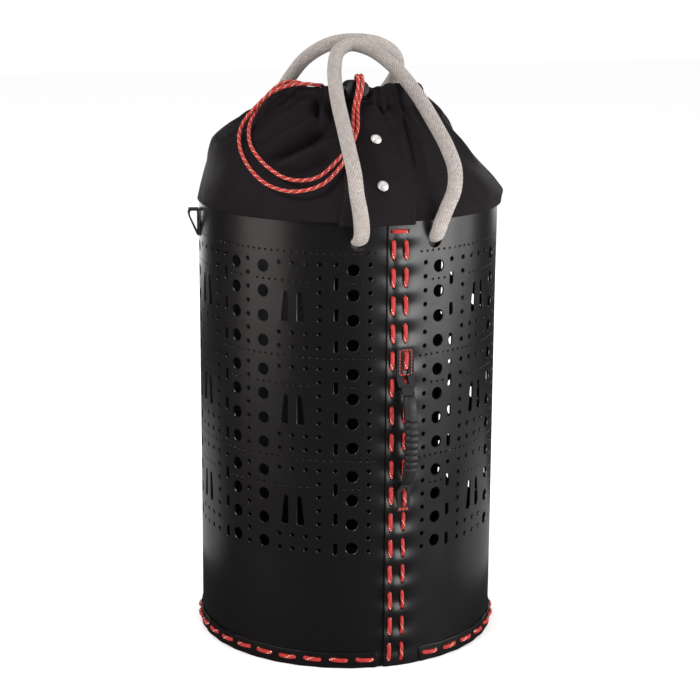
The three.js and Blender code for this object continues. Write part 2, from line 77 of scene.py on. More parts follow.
WALL_R = box_mm("shell_wall")[1].x
WALL_TOP = box_mm("shell_wall")[1].z
SHEET = 2.0
LAP_STEP = 2.4  # how far the lapped end of the sheet stands off the rest
LAP_FROM, LAP_TO = -5.0, 4.2
JOGGLE = (-16.0, -5.0)

FIRST_COLUMN = 27.5
UNIT = 124.8
TIER_TOPS = (398.0, 297.0, 196.0)
SMALL_R, LARGE_R, DOT_R = 2.5, 6.3, 1.35
SMALL_PITCH, LARGE_PITCH, DOT_PITCH = 13.5, 24.2, 6.8
CHAMFER = 0.5
SLOT_HALF = (2.5, 6.5)

SEAM_ROW = 6.3  # each row of lacing, along the wall from the seam
STITCH_TOP, STITCH_PITCH, STITCH_HALF = 417.0, 26.8, 7.6
STITCHES = 16
BASE_STITCHES = 35
BASE_STITCH_Z = 8.5
CROSSING_Z = 434.8
LACE_R = 1.9

HANDLE_HALF, HANDLE_Z, HANDLE_HOLE_R = 38.0, 424.0, 8.2
ROPE_R = 7.0
CORD_R = 1.8

# The collar's outside: radius, height, and how much higher it stands on its high side.
COLLAR = (
    (152.8, 441.5, 0),
    (152.9, 454, 1),
    (151, 468, 14),
    (143, 484, 19),
    (125, 502, 19),
    (106, 520, 14),
    (88, 536, 7),
    (72, 548, 2),
)
COLLAR_HIGH_SIDE = 109.0
# How far each of those rows is pulled in on the high side, where the cloth lies flat on the wall's rim.
PULLED_IN = (2.4, 3.6, 6, 3, 8, 11, 5, 0)
COLLAR_BLUR = (-0.05, -0.025, 0, 0.025, 0.05)  # rounds off the corners between the rows
LOCK_X, LOCK_Y, LOCK_BOTTOM, LOCK_TOP = -16.0, -66.0, 552.5, 567.5
LOCK_CORDS = (1.6, 5.4)
GRAB_X = 6.3


# ---- Curves and meshes ----
def on_circle(angle, r):
    return np.array((-r * math.sin(math.radians(angle)), -r * math.cos(math.radians(angle))))


def smooth(x):
    x = np.clip(x, 0.0, 1.0)
    return x * x * (3 - 2 * x)


def bump(x, width):
    return np.exp(-((x / width) ** 2))


def distances(path):
    """How far along the path each of its points is."""
    return np.concatenate([[0], np.cumsum(np.linalg.norm(np.diff(path, axis=0), axis=1))])


def curve_through(points, step):
    """Points an even step apart on the centripetal Catmull-Rom curve through the given ones."""
    p = np.array(points, float)
    p = np.vstack([2 * p[0] - p[1], p, 2 * p[-1] - p[-2]])
    fine = []
    for i in range(1, len(p) - 2):
        x0, x1, x2, x3 = p[i - 1 : i + 3]
        d0, d1, d2 = (max(np.linalg.norm(b - a), 1e-6) ** 0.5 for a, b in ((x0, x1), (x1, x2), (x2, x3)))
        m1 = ((x1 - x0) / d0 - (x2 - x0) / (d0 + d1) + (x2 - x1) / d1) * d1
        m2 = ((x2 - x1) / d1 - (x3 - x1) / (d1 + d2) + (x3 - x2) / d2) * d1
        t = np.linspace(0, 1, 40, endpoint=False)[:, None]
        fine.append(
            (2 * t**3 - 3 * t**2 + 1) * x1
            + (t**3 - 2 * t**2 + t) * m1
            + (3 * t**2 - 2 * t**3) * x2
            + (t**3 - t**2) * m2
        )
    fine = np.vstack([*fine, p[-2:-1]])
    along = distances(fine)
    even = np.linspace(0, along[-1], max(2, round(along[-1] / step) + 1))
    return np.column_stack([np.interp(even, along, fine[:, k]) for k in range(3)])


def frames_along(path, up):
    """The tangent and two side directions at each point, turning as little as they can."""
    tangent = np.gradient(path, axis=0)
    tangent /= np.linalg.norm(tangent, axis=1)[:, None]
    side = np.array(up, float)
    if abs(side @ tangent[0]) > 0.99 * np.linalg.norm(side):
        side = np.array((1.0, 0.3, 0.0))
    sides = []
    for t in tangent:
        side = side - t * (side @ t)
        side = side / np.linalg.norm(side)
        sides.append(side)
    sides = np.array(sides)
    return tangent, sides, np.cross(tangent, sides)


def new_object(name, mesh, material, body):
    obj = bpy.data.objects.new(name, mesh)
    bpy.context.scene.collection.objects.link(obj)
    mesh.materials.append(material)
    if body:
        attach(obj, body)
    return obj


def make_mesh(name, points, faces, uv=None, sharp=40.0):
    """A smooth-shaded mesh from points in millimetres. uv is one pair for each point."""
    mesh = bpy.data.meshes.new(name)
    mesh.from_pydata((np.asarray(points, float) * MM).tolist(), [], [list(map(int, f)) for f in faces])
    mesh.validate()
    mesh.shade_smooth()
    mesh.set_sharp_from_angle(angle=math.radians(sharp))
    if uv is not None:
        layer = mesh.uv_layers.new(name="UVMap")
        corner = np.zeros(len(mesh.loops), np.int32)
        mesh.loops.foreach_get("vertex_index", corner)
        layer.data.foreach_set("uv", np.asarray(uv, np.float32)[corner].ravel())
    return mesh


def grid_faces(rows, columns, wrap_rows=False, wrap_columns=False, start=0):
    """Quads between neighbours of a grid of points stored row by row."""
    i = np.arange(rows if wrap_rows else rows - 1)[:, None]
    j = np.arange(columns if wrap_columns else columns - 1)[None, :]
    i2, j2 = (i + 1) % rows, (j + 1) % columns
    quads = np.stack([i * columns + j, i * columns + j2, i2 * columns + j2, i2 * columns + j], -1)
    return (quads.reshape(-1, 4) + start).tolist()


def merged(parts):
    """Joins (points, faces, uv) parts into one."""
    points, faces, uvs, start = [], [], [], 0
    for p, f, uv in parts:
        points.append(p)
        faces.extend([[i + start for i in face] for face in f])
        uvs.append(uv)
        start += len(p)
    return np.vstack(points), faces, np.vstack(uvs)


def tube(path, radius, around=12, relief=None, depth=1.0, width=1.0, up=(0, 0, 1), round_ends=True):
    """(points, faces, uv) of a closed tube. relief(turn, along) adds height to the surface. depth
    and width scale it along and across the up direction, each one number or one for each point.
    uv holds the turn and the distance along in mm."""
    tangent, side, other = frames_along(path, up)
    along = distances(path)
    turn = np.arange(around + 1) / around
    t, s = np.meshgrid(turn, along)
    r = np.full_like(t, radius)
    if relief:
        r = r + relief(t, s)
    if round_ends:
        near = np.minimum(s, along[-1] - s) / radius
        r = r * np.sqrt(np.clip(1 - (1 - np.clip(near, 0, 1)) ** 2, 0.02, 1))
    c = np.cos(TAU * t) * r * np.broadcast_to(depth, len(path))[:, None]
    n = np.sin(TAU * t) * r * np.broadcast_to(width, len(path))[:, None]
    points = path[:, None, :] + c[..., None] * side[:, None, :] + n[..., None] * other[:, None, :]
    rows, columns = t.shape
    flat = points.reshape(-1, 3)
    uv = np.column_stack([t.ravel(), s.ravel()])
    faces = grid_faces(rows, columns)
    caps = [(path[0], 0, False), (path[-1], (rows - 1) * columns, True)]
    for k, (centre, first, last) in enumerate(caps):
        hub = len(flat) + k
        for j in range(around):
            a, b = first + j, first + j + 1
            faces.append([hub, a, b] if last else [hub, b, a])
    flat = np.vstack([flat, path[0], path[-1]])
    uv = np.vstack([uv, uv[0], uv[-1]])
    return flat, faces, uv


def mend(mesh, close=True, face_out=True):
    """Closes the line where a ring of points meets itself, and turns every face outwards."""
    work = bmesh.new()
    work.from_mesh(mesh)
    if close:
        bmesh.ops.remove_doubles(work, verts=work.verts, dist=1e-6)
    if face_out:
        bmesh.ops.recalc_face_normals(work, faces=work.faces)
    work.to_mesh(mesh)
    work.free()


def tubes_object(name, parts, material, body):
    points, faces, uv = merged(parts)
    mesh = make_mesh(name, points, faces, uv, sharp=75)
    mend(mesh, face_out=False)
    return new_object(name, mesh, material, body)


def lathe(profile, centre, axis, segments=64):
    """(points, faces, uv) of a profile of (radius, height) turned about an axis."""
    axis = np.array(axis, float) / np.linalg.norm(axis)
    side = np.cross(axis, (0, 0, 1) if abs(axis[2]) < 0.9 else (0, 1, 0))
    side /= np.linalg.norm(side)
    other = np.cross(axis, side)
    turn = np.arange(segments) / segments * TAU
    rows = [
        np.array(centre) + h * axis + r * (np.cos(turn)[:, None] * side + np.sin(turn)[:, None] * other)
        for r, h in profile
    ]
    uv = [np.column_stack([turn / TAU, np.full(segments, h)]) for _, h in profile]
    return np.vstack(rows), grid_faces(len(profile), segments, wrap_columns=True), np.vstack(uv)


def rounded_profile(corners, r, steps=5):
    """A polyline of (x, y) corners with its inner ones rounded."""
    p = [np.array(c, float) for c in corners]
    out = [p[0]]
    for a, b, c in zip(p, p[1:], p[2:]):
        u, v = (a - b) / np.linalg.norm(a - b), (c - b) / np.linalg.norm(c - b)
        reach = min(r, 0.45 * np.linalg.norm(a - b), 0.45 * np.linalg.norm(c - b))
        for t in np.linspace(0, 1, steps):
            out.append((1 - t) ** 2 * (b + u * reach) + 2 * t * (1 - t) * b + t**2 * (b + v * reach))
    return [tuple(q) for q in [*out, p[-1]]]


def braid(strands, pitch, height):
    """The relief of a rope's sheath, with that many strands each way and one turn in a pitch."""

    def relief(turn, along):
        a, b = strands * (turn + along / pitch), strands * (turn - along / pitch)
        over = (np.floor(a) + np.floor(b)) % 2 < 1
        across, length = np.where(over, a % 1, b % 1), np.where(over, b % 1, a % 1)
        crown = np.sqrt(np.clip(1 - (2 * across - 1) ** 2, 0, 1))
        return height * (crown * (0.45 + 0.55 * np.sin(np.pi * length)) - 0.7)

    return relief


# ---- Camera ----
CAMERA_AZIMUTH, CAMERA_REACH, CAMERA_HEIGHT = -18.8, 1.930, 0.7486
CAMERA_PITCH, CAMERA_YAW, CAMERA_ROLL, CAMERA_LENS = 13.49, -0.09, 0.4, 99.5


def make_camera():
    data = bpy.data.cameras.new("camera")
    data.lens = CAMERA_LENS
    data.sensor_width = 36
    camera = bpy.data.objects.new("camera", data)
    a = math.radians(CAMERA_AZIMUTH)
    camera.location = (CAMERA_REACH * math.sin(a), -CAMERA_REACH * math.cos(a), CAMERA_HEIGHT)
    turns = ((CAMERA_AZIMUTH + CAMERA_YAW, "Z"), (90 - CAMERA_PITCH, "X"), (CAMERA_ROLL, "Z"))
    aim = Matrix()
    for angle, axis in turns:
        aim = aim @ Matrix.Rotation(math.radians(angle), 4, axis)
    camera.rotation_euler = aim.to_euler()
    bpy.context.scene.collection.objects.link(camera)
    bpy.context.scene.camera = camera


make_camera()


# ---- Materials ----
class Look:
    """A node material, with short calls for the nodes that the looks below use."""

    def __init__(self, name, color, roughness, **sockets):
        self.material = bpy.data.materials.new(name)
        self.material.use_nodes = True
        self.tree = self.material.node_tree
        self.shader = self.tree.nodes["Principled BSDF"]
        self.shader.inputs["Base Color"].default_value = (*color, 1)
        self.shader.inputs["Roughness"].default_value = roughness
        for socket, value in sockets.items():
            self.shader.inputs[socket.replace("_", " ")].default_value = value
        self.height = None

    def node(self, kind, inputs=(), **settings):
        node = self.tree.nodes.new(kind)
        for key, value in settings.items():
            setattr(node, key, value)
        for key, value in dict(inputs).items():
            if isinstance(value, bpy.types.NodeSocket):
                self.tree.links.new(value, node.inputs[key])
            else:
                node.inputs[key].default_value = value
        return node

    def math(self, operation, a, b=0.0, c=0.0):
        return self.node("ShaderNodeMath", {0: a, 1: b, 2: c}, operation=operation).outputs[0]

    def place(self, kind="Object"):
        return self.node("ShaderNodeTexCoord").outputs[kind]

    def noise(self, scale, detail=3.0, roughness=0.5, vector=None):
        inputs = {"Scale": scale, "Detail": detail, "Roughness": roughness}
        inputs["Vector"] = self.place() if vector is None else vector
        return self.node("ShaderNodeTexNoise", inputs).outputs["Fac"]

    def spread(self, value, low, high, to_low, to_high):
        inputs = {"Value": value, "From Min": low, "From Max": high, "To Min": to_low, "To Max": to_high}
        return self.node("ShaderNodeMapRange", inputs).outputs["Result"]

    def mix(self, fac, a, b):
        node = self.node("ShaderNodeMix", data_type="RGBA")
        for key, value in (("Factor", fac), ("A", a), ("B", b)):
            socket = next(s for s in node.inputs if s.name == key and s.enabled)
            if isinstance(value, bpy.types.NodeSocket):
                self.tree.links.new(value, socket)
            else:
                socket.default_value = value if key == "Factor" else (*value, 1)
        return next(s for s in node.outputs if s.enabled)

    def set(self, socket, value):
        self.tree.links.new(value, self.shader.inputs[socket])

    def raise_by(self, height, distance):
        """Adds a bump of that height in millimetres."""
        inputs = {"Height": height, "Distance": distance * MM, "Strength": 1.0}
        if self.height:
            inputs["Normal"] = self.height
        self.height = self.node("ShaderNodeBump", inputs).outputs["Normal"]
        self.set("Normal", self.height)

    def uv(self):
        parts = self.node("ShaderNodeSeparateXYZ", {"Vector": self.place("UV")})
        return parts.outputs["X"], parts.outputs["Y"]


def shell_look():
    """Satin black sheet with a fine grain, faint rub marks and slightly uneven gloss."""
    look = Look("shell_plastic", (0.0046, 0.0038, 0.004), 0.31)
    patches = look.noise(9, 4, 0.6)
    look.set("Roughness", look.spread(patches, 0.3, 0.7, 0.27, 0.35))
    streaks = look.node("ShaderNodeMapping", {"Vector": look.place(), "Scale": (60, 60, 900)})
    rubs = look.noise(1, 2, 0.6, streaks.outputs["Vector"])
    tint = look.spread(rubs, 0.62, 0.78, 0, 0.35)
    look.set("Base Color", look.mix(tint, (0.0046, 0.0038, 0.004), (0.01, 0.0085, 0.009)))
    look.raise_by(look.noise(2600, 2), 0.012)
    look.raise_by(look.noise(60, 2), 0.12)
    return look.material


def base_look():
    look = Look("base_plastic", (0.017, 0.0165, 0.017), 0.55)
    look.set("Roughness", look.spread(look.noise(40, 4), 0.3, 0.7, 0.45, 0.68))
    look.raise_by(look.noise(1800, 3), 0.03)
    return look.material


def weave(look, height):
    """A plain weave: two sets of yarns that pass over and under each other."""
    waves = [look.math("SINE", look.math("MULTIPLY", place, TAU)) for place in look.uv()]
    product = look.math("MULTIPLY", *waves)
    look.raise_by(product, height)
    return product


def cloth_look():
    """Matt black coated cloth, its yarns 0.5 mm apart, with faint lighter wear, and painted highlight and
    shade on the weave: raised yarns lighter, low ones darker.
    """
    look = Look("collar_fabric", (0.0062, 0.0038, 0.0055), 0.6, Specular_IOR_Level=0.16)
    yarn = weave(look, 0.07)
    wear = look.spread(look.noise(14, 5, 0.62), 0.4, 0.75, 0, 0.7)
    tone = look.mix(wear, (0.0062, 0.0038, 0.0055), (0.0105, 0.0065, 0.0092))
    # painted highlight and shade: the colour follows the weave height, lighter on the raised yarns and darker
    # on the low ones
    look.set("Base Color", look.mix(look.spread(yarn, -1, 1, 0, 0.3), tone, (0.0115, 0.0082, 0.0106)))
    look.set("Roughness", look.spread(look.noise(30, 3), 0.3, 0.7, 0.52, 0.7))
    look.raise_by(look.noise(120, 4, 0.6), 0.25)
    return look.material


def webbing_look():
    look = Look("webbing", (0.008, 0.0075, 0.0085), 0.8, Sheen_Weight=0.05, Sheen_Roughness=0.4)
    rows = look.node("ShaderNodeMapping", {"Vector": look.place(), "Scale": (1 / MM / 1.6, 1, 1 / MM / 1.1)})
    parts = look.node("ShaderNodeSeparateXYZ", {"Vector": rows.outputs["Vector"]})
    slant = look.math("ADD", parts.outputs["X"], look.math("MULTIPLY", parts.outputs["Z"], 0.5))
    ribs = look.math("SINE", look.math("MULTIPLY", slant, TAU))
    cross = look.math("SINE", look.math("MULTIPLY", parts.outputs["Z"], TAU))
    yarns = look.math("MULTIPLY", ribs, cross)
    look.raise_by(yarns, 0.16)
    # painted highlight and shade: the colour follows the rib height, lighter on the raised yarns and darker
    # in the grooves
    tone = look.spread(yarns, -1, 1, 0, 1)
    look.set("Base Color", look.mix(tone, (0.004, 0.004, 0.0045), (0.015, 0.014, 0.016)))
    return look.material


def strand_of(look, strands, pitch):
    """The numbers of the two strands that cross here, which of them is on top, and how near the
    middle of that strand this is, from 0 at its edge to 1."""
    turn, along = look.uv()
    lay = look.math("DIVIDE", along, pitch)
    a = look.math("MULTIPLY", look.math("ADD", turn, lay), strands)
    b = look.math("MULTIPLY", look.math("SUBTRACT", turn, lay), strands)
    both = look.math("ADD", look.math("FLOOR", a), look.math("FLOOR", b))
    under = look.math("GREATER_THAN", look.math("FLOORED_MODULO", both, 2), 0.5)
    top = look.math("ADD", look.math("MULTIPLY", look.math("FRACT", a), look.math("SUBTRACT", 1, under)),
                    look.math("MULTIPLY", look.math("FRACT", b), under))
    crown = look.math("SINE", look.math("MULTIPLY", top, math.pi))
    return look.math("FLOOR", a), look.math("FLOOR", b), under, crown


LACE_BRAID = (8, 17.0)
ROPE_BRAID = (16, 60.0)


def lace_look(name, tracer_step):
    """Orange-red braided cord, with a pale tracer for one strand in every few, and painted shade in the
    creases between strands.
    """
    look = Look(name, (0.42, 0.012, 0.01), 0.42, Sheen_Weight=0.02)
    a, b, under, crown = strand_of(look, *LACE_BRAID)
    tracer_a = look.math("LESS_THAN", look.math("FLOORED_MODULO", a, tracer_step), 0.5)
    on_top = look.math("SUBTRACT", 1, under)
    tracer = look.math("MULTIPLY", tracer_a, on_top)
    dark = look.math("LESS_THAN", look.math("FLOORED_MODULO", b, 4), 0.5)
    red = look.mix(look.math("MULTIPLY", dark, under), (0.44, 0.013, 0.01), (0.2, 0.005, 0.005))
    red = look.mix(look.spread(look.noise(300, 3), 0.35, 0.7, 0, 0.45), red, (0.62, 0.03, 0.018))
    shown = look.mix(tracer, red, (0.86, 0.55, 0.4))
    # painted shade: each strand darkens towards its edges, in the creases between strands
    look.set("Base Color", look.mix(look.spread(crown, 0.1, 0.75, 0.8, 0), shown, (0.1, 0.003, 0.004)))
    look.raise_by(crown, 0.25)
    look.raise_by(look.noise(2600, 2), 0.08)
    return look.material


def rope_look():
    """Warm grey sheath, each strand a little different, with its yarns showing, and painted shade in the
    creases between strands.
    """
    look = Look("handle_rope", (0.36, 0.325, 0.295), 0.8, Sheen_Weight=0.1, Sheen_Roughness=0.4)
    a, b, under, crown = strand_of(look, *ROPE_BRAID)
    number = look.math("ADD", look.math("MULTIPLY", a, 0.37), look.math("MULTIPLY", b, 0.61))
    hue = look.math("FRACT", look.math("MULTIPLY", look.math("SINE", number), 43.7))
    tone = look.mix(hue, (0.33, 0.292, 0.266), (0.43, 0.388, 0.357))
    soil = look.spread(look.noise(45, 4), 0.5, 0.8, 0, 0.35)
    sheath = look.mix(soil, tone, (0.24, 0.21, 0.19))
    # painted shade: each strand darkens towards its edges, in the creases between strands
    look.set("Base Color", look.mix(look.spread(crown, 0.05, 0.8, 0.8, 0), sheath, (0.12, 0.1, 0.088)))
    look.raise_by(crown, 0.4)
    turn, _ = look.uv()
    yarns = look.math("SINE", look.math("MULTIPLY", turn, TAU * 96))
    look.raise_by(yarns, 0.05)
    look.raise_by(look.noise(1500, 2), 0.08)
    return look.material


def rubber_look():
    look = Look("grip_rubber", (0.009, 0.0085, 0.009), 0.5)
    look.set("Roughness", look.spread(look.noise(120, 4), 0.3, 0.7, 0.5, 0.7))
    look.raise_by(look.noise(2200, 3), 0.03)
    return look.material


def plain_look(name, color, roughness, metallic=0.0, grain=0.01, specular=0.5):
    look = Look(name, color, roughness, Metallic=metallic, Specular_IOR_Level=specular)
    low, high = roughness * 0.8, min(1, roughness * 1.3)
    look.set("Roughness", look.spread(look.noise(200, 4), 0.3, 0.7, low, high))
    look.raise_by(look.noise(1500, 2), grain)
    return look.material


SHELL = shell_look()
BASE = base_look()
CLOTH = cloth_look()
WEBBING = webbing_look()
LACE = lace_look("lace_cord", 8)
DRAWCORD = lace_look("drawcord", 4)
ROPE = rope_look()
RUBBER = rubber_look()
METAL = plain_look("snap_metal", (0.9, 0.88, 0.86), 0.36, 0.65)
STEEL = plain_look("spring_steel", (0.55, 0.55, 0.56), 0.3, 1.0)
LOCK = plain_look("lock_plastic", (0.003, 0.003, 0.0033), 0.4, 0.0, 0.015, 0.25)
THREAD = plain_look("black_thread", (0.009, 0.008, 0.01), 0.6, 0.0, 0.02)
STITCH_THREAD = plain_look("red_thread", (0.55, 0.05, 0.03), 0.6, 0.0, 0.02)


# ---- The drawcord ----
LOCK_RIGHT, LOCK_LEFT = LOCK_X + LOCK_CORDS[1], LOCK_X + LOCK_CORDS[0]
STRAND_Y = LOCK_Y + 3.3
RING_R, RING_Z = 66.4, 551.0
STRANDS = {
    "outer": [
        (LOCK_RIGHT, STRAND_Y, LOCK_BOTTOM - 0.3), (LOCK_RIGHT, STRAND_Y, LOCK_TOP - 3.5),
        (LOCK_RIGHT, STRAND_Y, LOCK_TOP + 0.8), (-10.8, -65, 571.2), (-11.4, -71, 572.3),
        (-12.5, -77.5, 568.5), (-14, -80, 560), (-19, -84, 546), (-28, -108, 525), (-38, -119, 511),
        (-48, -129, 499), (-72, -138, 480), (-96, -129, 473), (-116, -108, 477), (-128, -80, 493),
        (-127, -49, 513), (-119, -36, 527), (-103, -31, 543), (-87, -30, 555), (-71, -38, 562),
        (-59, -48, 563.5), (-49, -50, 562.3), (-42, -43, 561), (-37, -37, 556), (-36, -32, 546),
        (-39, -28, 535),
    ],
    "inner": [
        (LOCK_LEFT, STRAND_Y, LOCK_BOTTOM - 0.3), (LOCK_LEFT, STRAND_Y, LOCK_TOP - 3.5),
        (LOCK_LEFT, STRAND_Y, LOCK_TOP + 0.8), (-14.8, -65, 571.2), (-15.4, -71, 572.3),
        (-16.8, -77.5, 568.5), (-18.5, -80, 559), (-24, -86, 543), (-32.5, -107.5, 523),
        (-42.5, -118.5, 509), (-52, -126, 501.5), (-76, -132.5, 485.5), (-98, -120, 483),
        (-113, -100, 492), (-121, -71, 508), (-116, -46, 523), (-108, -33, 533), (-95, -20, 545),
        (-80, -16, 558), (-70, -19, 563), (-60, -21, 562.5), (-53.5, -22, 560), (-49, -22.5, 553),
        (-46.5, -23, 545), (-44.5, -24, 535),
    ],
}


def make_drawcord():
    relief = braid(*LACE_BRAID, 0.22)
    for where, route in STRANDS.items():
        path = curve_through(route, 0.55)
        parts = [tube(path, CORD_R - 0.05, 24, relief)]
        obj = tubes_object(f"drawcord_{where}", parts, DRAWCORD, "bag")
        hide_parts(f"drawcord_strand_{where}")


def make_drawcord_knot():
    """The two strands end in one overhand knot, with their tails below it."""
    low, high = box_mm("drawcord_knot")
    centre = np.array(((low.x + high.x) / 2, (low.y + high.y) / 2, high.z - 6))
    t = np.linspace(0, TAU, 160)
    loop = np.column_stack([
        np.sin(t) + 2 * np.sin(2 * t),
        np.cos(t) - 2 * np.cos(2 * t),
        -1.3 * np.sin(3 * t),
    ])
    relief = braid(*LACE_BRAID, 0.2)
    parts = [tube(centre + 1.75 * loop, CORD_R, 16, relief, round_ends=False)]
    for dx, dy in ((2.5, -4), (-1.5, 4)):
        tail = curve_through([centre, centre + (dx, dy, -12), centre + (1.4 * dx, 1.2 * dy, -27)], 0.6)
        parts.append(tube(tail, CORD_R, 16, relief))
    knot = tubes_object("drawcord_end_knot", parts, DRAWCORD, "bag")
    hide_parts("drawcord_knot")


def make_drawcord_ring():
    """The drawcord inside its hem, with both ends turned up into the lock."""
    low, end = LOCK_BOTTOM - 5, LOCK_BOTTOM - 1.1
    run = [(*on_circle(a, RING_R), RING_Z - float(rear_dip(a))) for a in np.linspace(30, 361, 61)]
    route = [
        (LOCK_LEFT, STRAND_Y, end),
        (LOCK_LEFT - 2, STRAND_Y, low),
        (LOCK_LEFT - 9, LOCK_Y + 4.4, low - 1),
        *run,
        (LOCK_RIGHT + 2, STRAND_Y, low),
        (LOCK_RIGHT, STRAND_Y, end),
    ]
    path = curve_through(route, 0.7)
    parts = [tube(path, CORD_R - 0.05, 16, braid(*LACE_BRAID, 0.2))]
    ring = tubes_object("drawcord_in_hem", parts, DRAWCORD, "bag")
    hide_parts("drawcord_ring")


make_drawcord()
make_drawcord_knot()


# ---- Shell: the perforated sheet ----
def wall_push(u, z):
    """How far the sheet stands off its true radius: puckered by the lacing, faintly uneven."""
    around = TAU * WALL_R
    s = (u + around / 2) % around - around / 2
    fade = smooth((z - 4) / 14) * smooth((440 - z) / 16)
    between = np.cos(TAU * (z - STITCH_TOP - STITCH_PITCH / 2) / STITCH_PITCH)
    pucker = 1.15 * between * bump(s, 16) * fade
    grooves = -0.45 * (bump(s - SEAM_ROW, 2.4) + bump(s + SEAM_ROW, 2.4)) * fade
    phi = u / WALL_R
    uneven = 0.35 * np.sin(3 * phi + 1) * np.sin(z / 120) + 0.25 * np.sin(5 * phi + z / 90)
    return pucker + grooves + uneven * smooth((z - 2) / 40) * smooth((448 - z) / 60)


def on_wall(u, z, depth):
    """A point of the rolled sheet: u along it in mm from the seam, depth in from its outside."""
    phi = np.degrees(u / WALL_R)
    step = LAP_STEP * smooth((phi - 360 - JOGGLE[0]) / (JOGGLE[1] - JOGGLE[0]))
    r = WALL_R + step + wall_push(u, z) - depth
    return np.column_stack([-r * np.sin(u / WALL_R), -r * np.cos(u / WALL_R), z])


def disc(u, z, r, segments):
    def outline(inset):
        turn = np.arange(segments) / segments * TAU
        return np.column_stack([u + (r - inset) * np.cos(turn), z + (r - inset) * np.sin(turn)])

    return (u, z, r), outline


def rounded(corners, r, steps=5):
    """A hole with straight sides and round corners. The corners run anticlockwise."""
    p = np.array(corners, float)
    centre = p.mean(0)

    def outline(inset):
        points = []
        for i in range(len(p)):
            a, b, c = p[i - 1], p[i], p[(i + 1) % len(p)]
            u, v = (b - a) / np.linalg.norm(b - a), (c - b) / np.linalg.norm(c - b)
            n1, n2 = np.array((u[1], -u[0])), np.array((v[1], -v[0]))
            inner = b - (n1 + n2) * r / (1 + n1 @ n2)
            first, last = math.atan2(n1[1], n1[0]), math.atan2(n2[1], n2[0])
            last += TAU if last < first else 0
            for t in np.linspace(first, last, steps):
                points.append(inner + (r - inset) * np.array((math.cos(t), math.sin(t))))
        return np.array(points)

    reach = np.linalg.norm(p - centre, axis=1).max()
    return (*centre, reach), outline


def tier_holes(place, top, unit_count):
    """One tier's holes. place(column) gives the place along the sheet of a column."""
    holes = []
    rows = [top + 5 - k * SMALL_PITCH for k in range(7)]

    def small(column, picked):
        holes.extend(disc(place(column), rows[k], SMALL_R, 14) for k in picked)

    def large(column):
        holes.extend(disc(place(column), top - k * LARGE_PITCH, LARGE_R, 28) for k in range(4))

    def slots(column):
        small(column, [0])
        for z in (top - 13.5, top - 43.5, top - 74):
            low, high = place(column) - SLOT_HALF[0], place(column) + SLOT_HALF[0]
            foot, head = z - SLOT_HALF[1], z + SLOT_HALF[1]
            holes.append(rounded([(low, foot), (high, foot), (high, head), (low, head)], 2.45))

    def dots(columns, z):
        holes.extend(disc(place(c), z, DOT_R, 8) for c in columns)

    for unit in range(unit_count):
        start = unit * UNIT
        small(start, range(7))
        large(start + 16)
        slots(start + 32)
        small(start + 48, range(7))
        for column in (61, 75, 89):
            small(start + column, (0, 5, 6))
        for inner, way in ((70.6, -1), (79.2, 1)):
            sides = [place(start + inner), place(start + inner + way * 8.6), place(start + inner + way * 4.8)]
            corners = [(sides[0], top - 22), (sides[0], top - 52), (sides[1], top - 52), (sides[2], top - 22)]
            holes.append(rounded(corners if sides[1] > sides[0] else corners[::-1], 2.2, 6))
        large(start + 106.5)
        dots([start + c for c in (9, 16, 23)], top - 12)
        dots([start + 113 - DOT_PITCH * k for k in range(9)], top - 12)
    last = unit_count * UNIT
    small(last, range(7))
    large(last + 16)
    slots(last + 32)
    dots([last + c for c in (9, 16, 23)], top - 12)
    dots(np.arange(-5, last + 36, DOT_PITCH), top + 16)
    return holes


def wall_holes():
    around = TAU * WALL_R
    holes = []
    for top in TIER_TOPS:
        holes += tier_holes(lambda c: FIRST_COLUMN + c, top, 2)
        holes += tier_holes(lambda c: around - FIRST_COLUMN - c, top, 2)
    half = math.asin(HANDLE_HALF / WALL_R)
    for angle in (half, TAU - half, math.pi - half, math.pi + half):
        holes.append(disc(angle * WALL_R, HANDLE_Z, HANDLE_HOLE_R, 32))
    for k in range(STITCHES):
        for end in (-1, 1):
            z = STITCH_TOP - k * STITCH_PITCH + end * (STITCH_HALF + 0.9)
            if z > 4:
                holes += [disc(around - SEAM_ROW, z, 1.9, 10), disc(around + SEAM_ROW, z, 1.9, 10)]
    for end in (-1, 1):
        holes.append(disc(around + end * (SEAM_ROW + 1.2), CROSSING_Z, 1.9, 10))
    return holes


def wall_grid(holes):
    """Points spread over the sheet, finer at the puckered seam, and clear of every hole."""
    low_u, high_u = math.radians(LAP_FROM) * WALL_R, (TAU + math.radians(LAP_TO)) * WALL_R
    us = np.arange(low_u, high_u, 4.5)
    zs = np.arange(0, WALL_TOP, 8)
    coarse = np.array([(u, z) for u in us[1:] for z in zs[1:]])
    seams = [s for c in (0, TAU * WALL_R) for s in np.arange(c - 36, c + 37, 2.4)]
    fine_z = np.arange(2.7, WALL_TOP - 2, 2.7)
    fine = np.array([(u, z) for u in seams for z in fine_z])
    near = np.abs((coarse[:, 0] + 400) % (TAU * WALL_R) - 400) < 37
    grid = np.vstack([coarse[~near], fine])
    inside = (grid[:, 0] > low_u + 1) & (grid[:, 0] < high_u - 1) & (grid[:, 1] < WALL_TOP - 1)
    grid = grid[inside]
    for (u, z, reach), _ in holes:
        away = np.hypot(grid[:, 0] - u, grid[:, 1] - z) > reach + 0.9
        grid = grid[away]
    edge_u = np.append(us, high_u)
    edge_z = np.append(np.arange(0, WALL_TOP, 2.8), WALL_TOP)
    border = np.array(
        [(u, 0) for u in edge_u]
        + [(high_u, z) for z in edge_z[1:]]
        + [(u, WALL_TOP) for u in edge_u[::-1][1:]]
        + [(low_u, z) for z in edge_z[::-1][1:-1]]
    )
    return grid, border


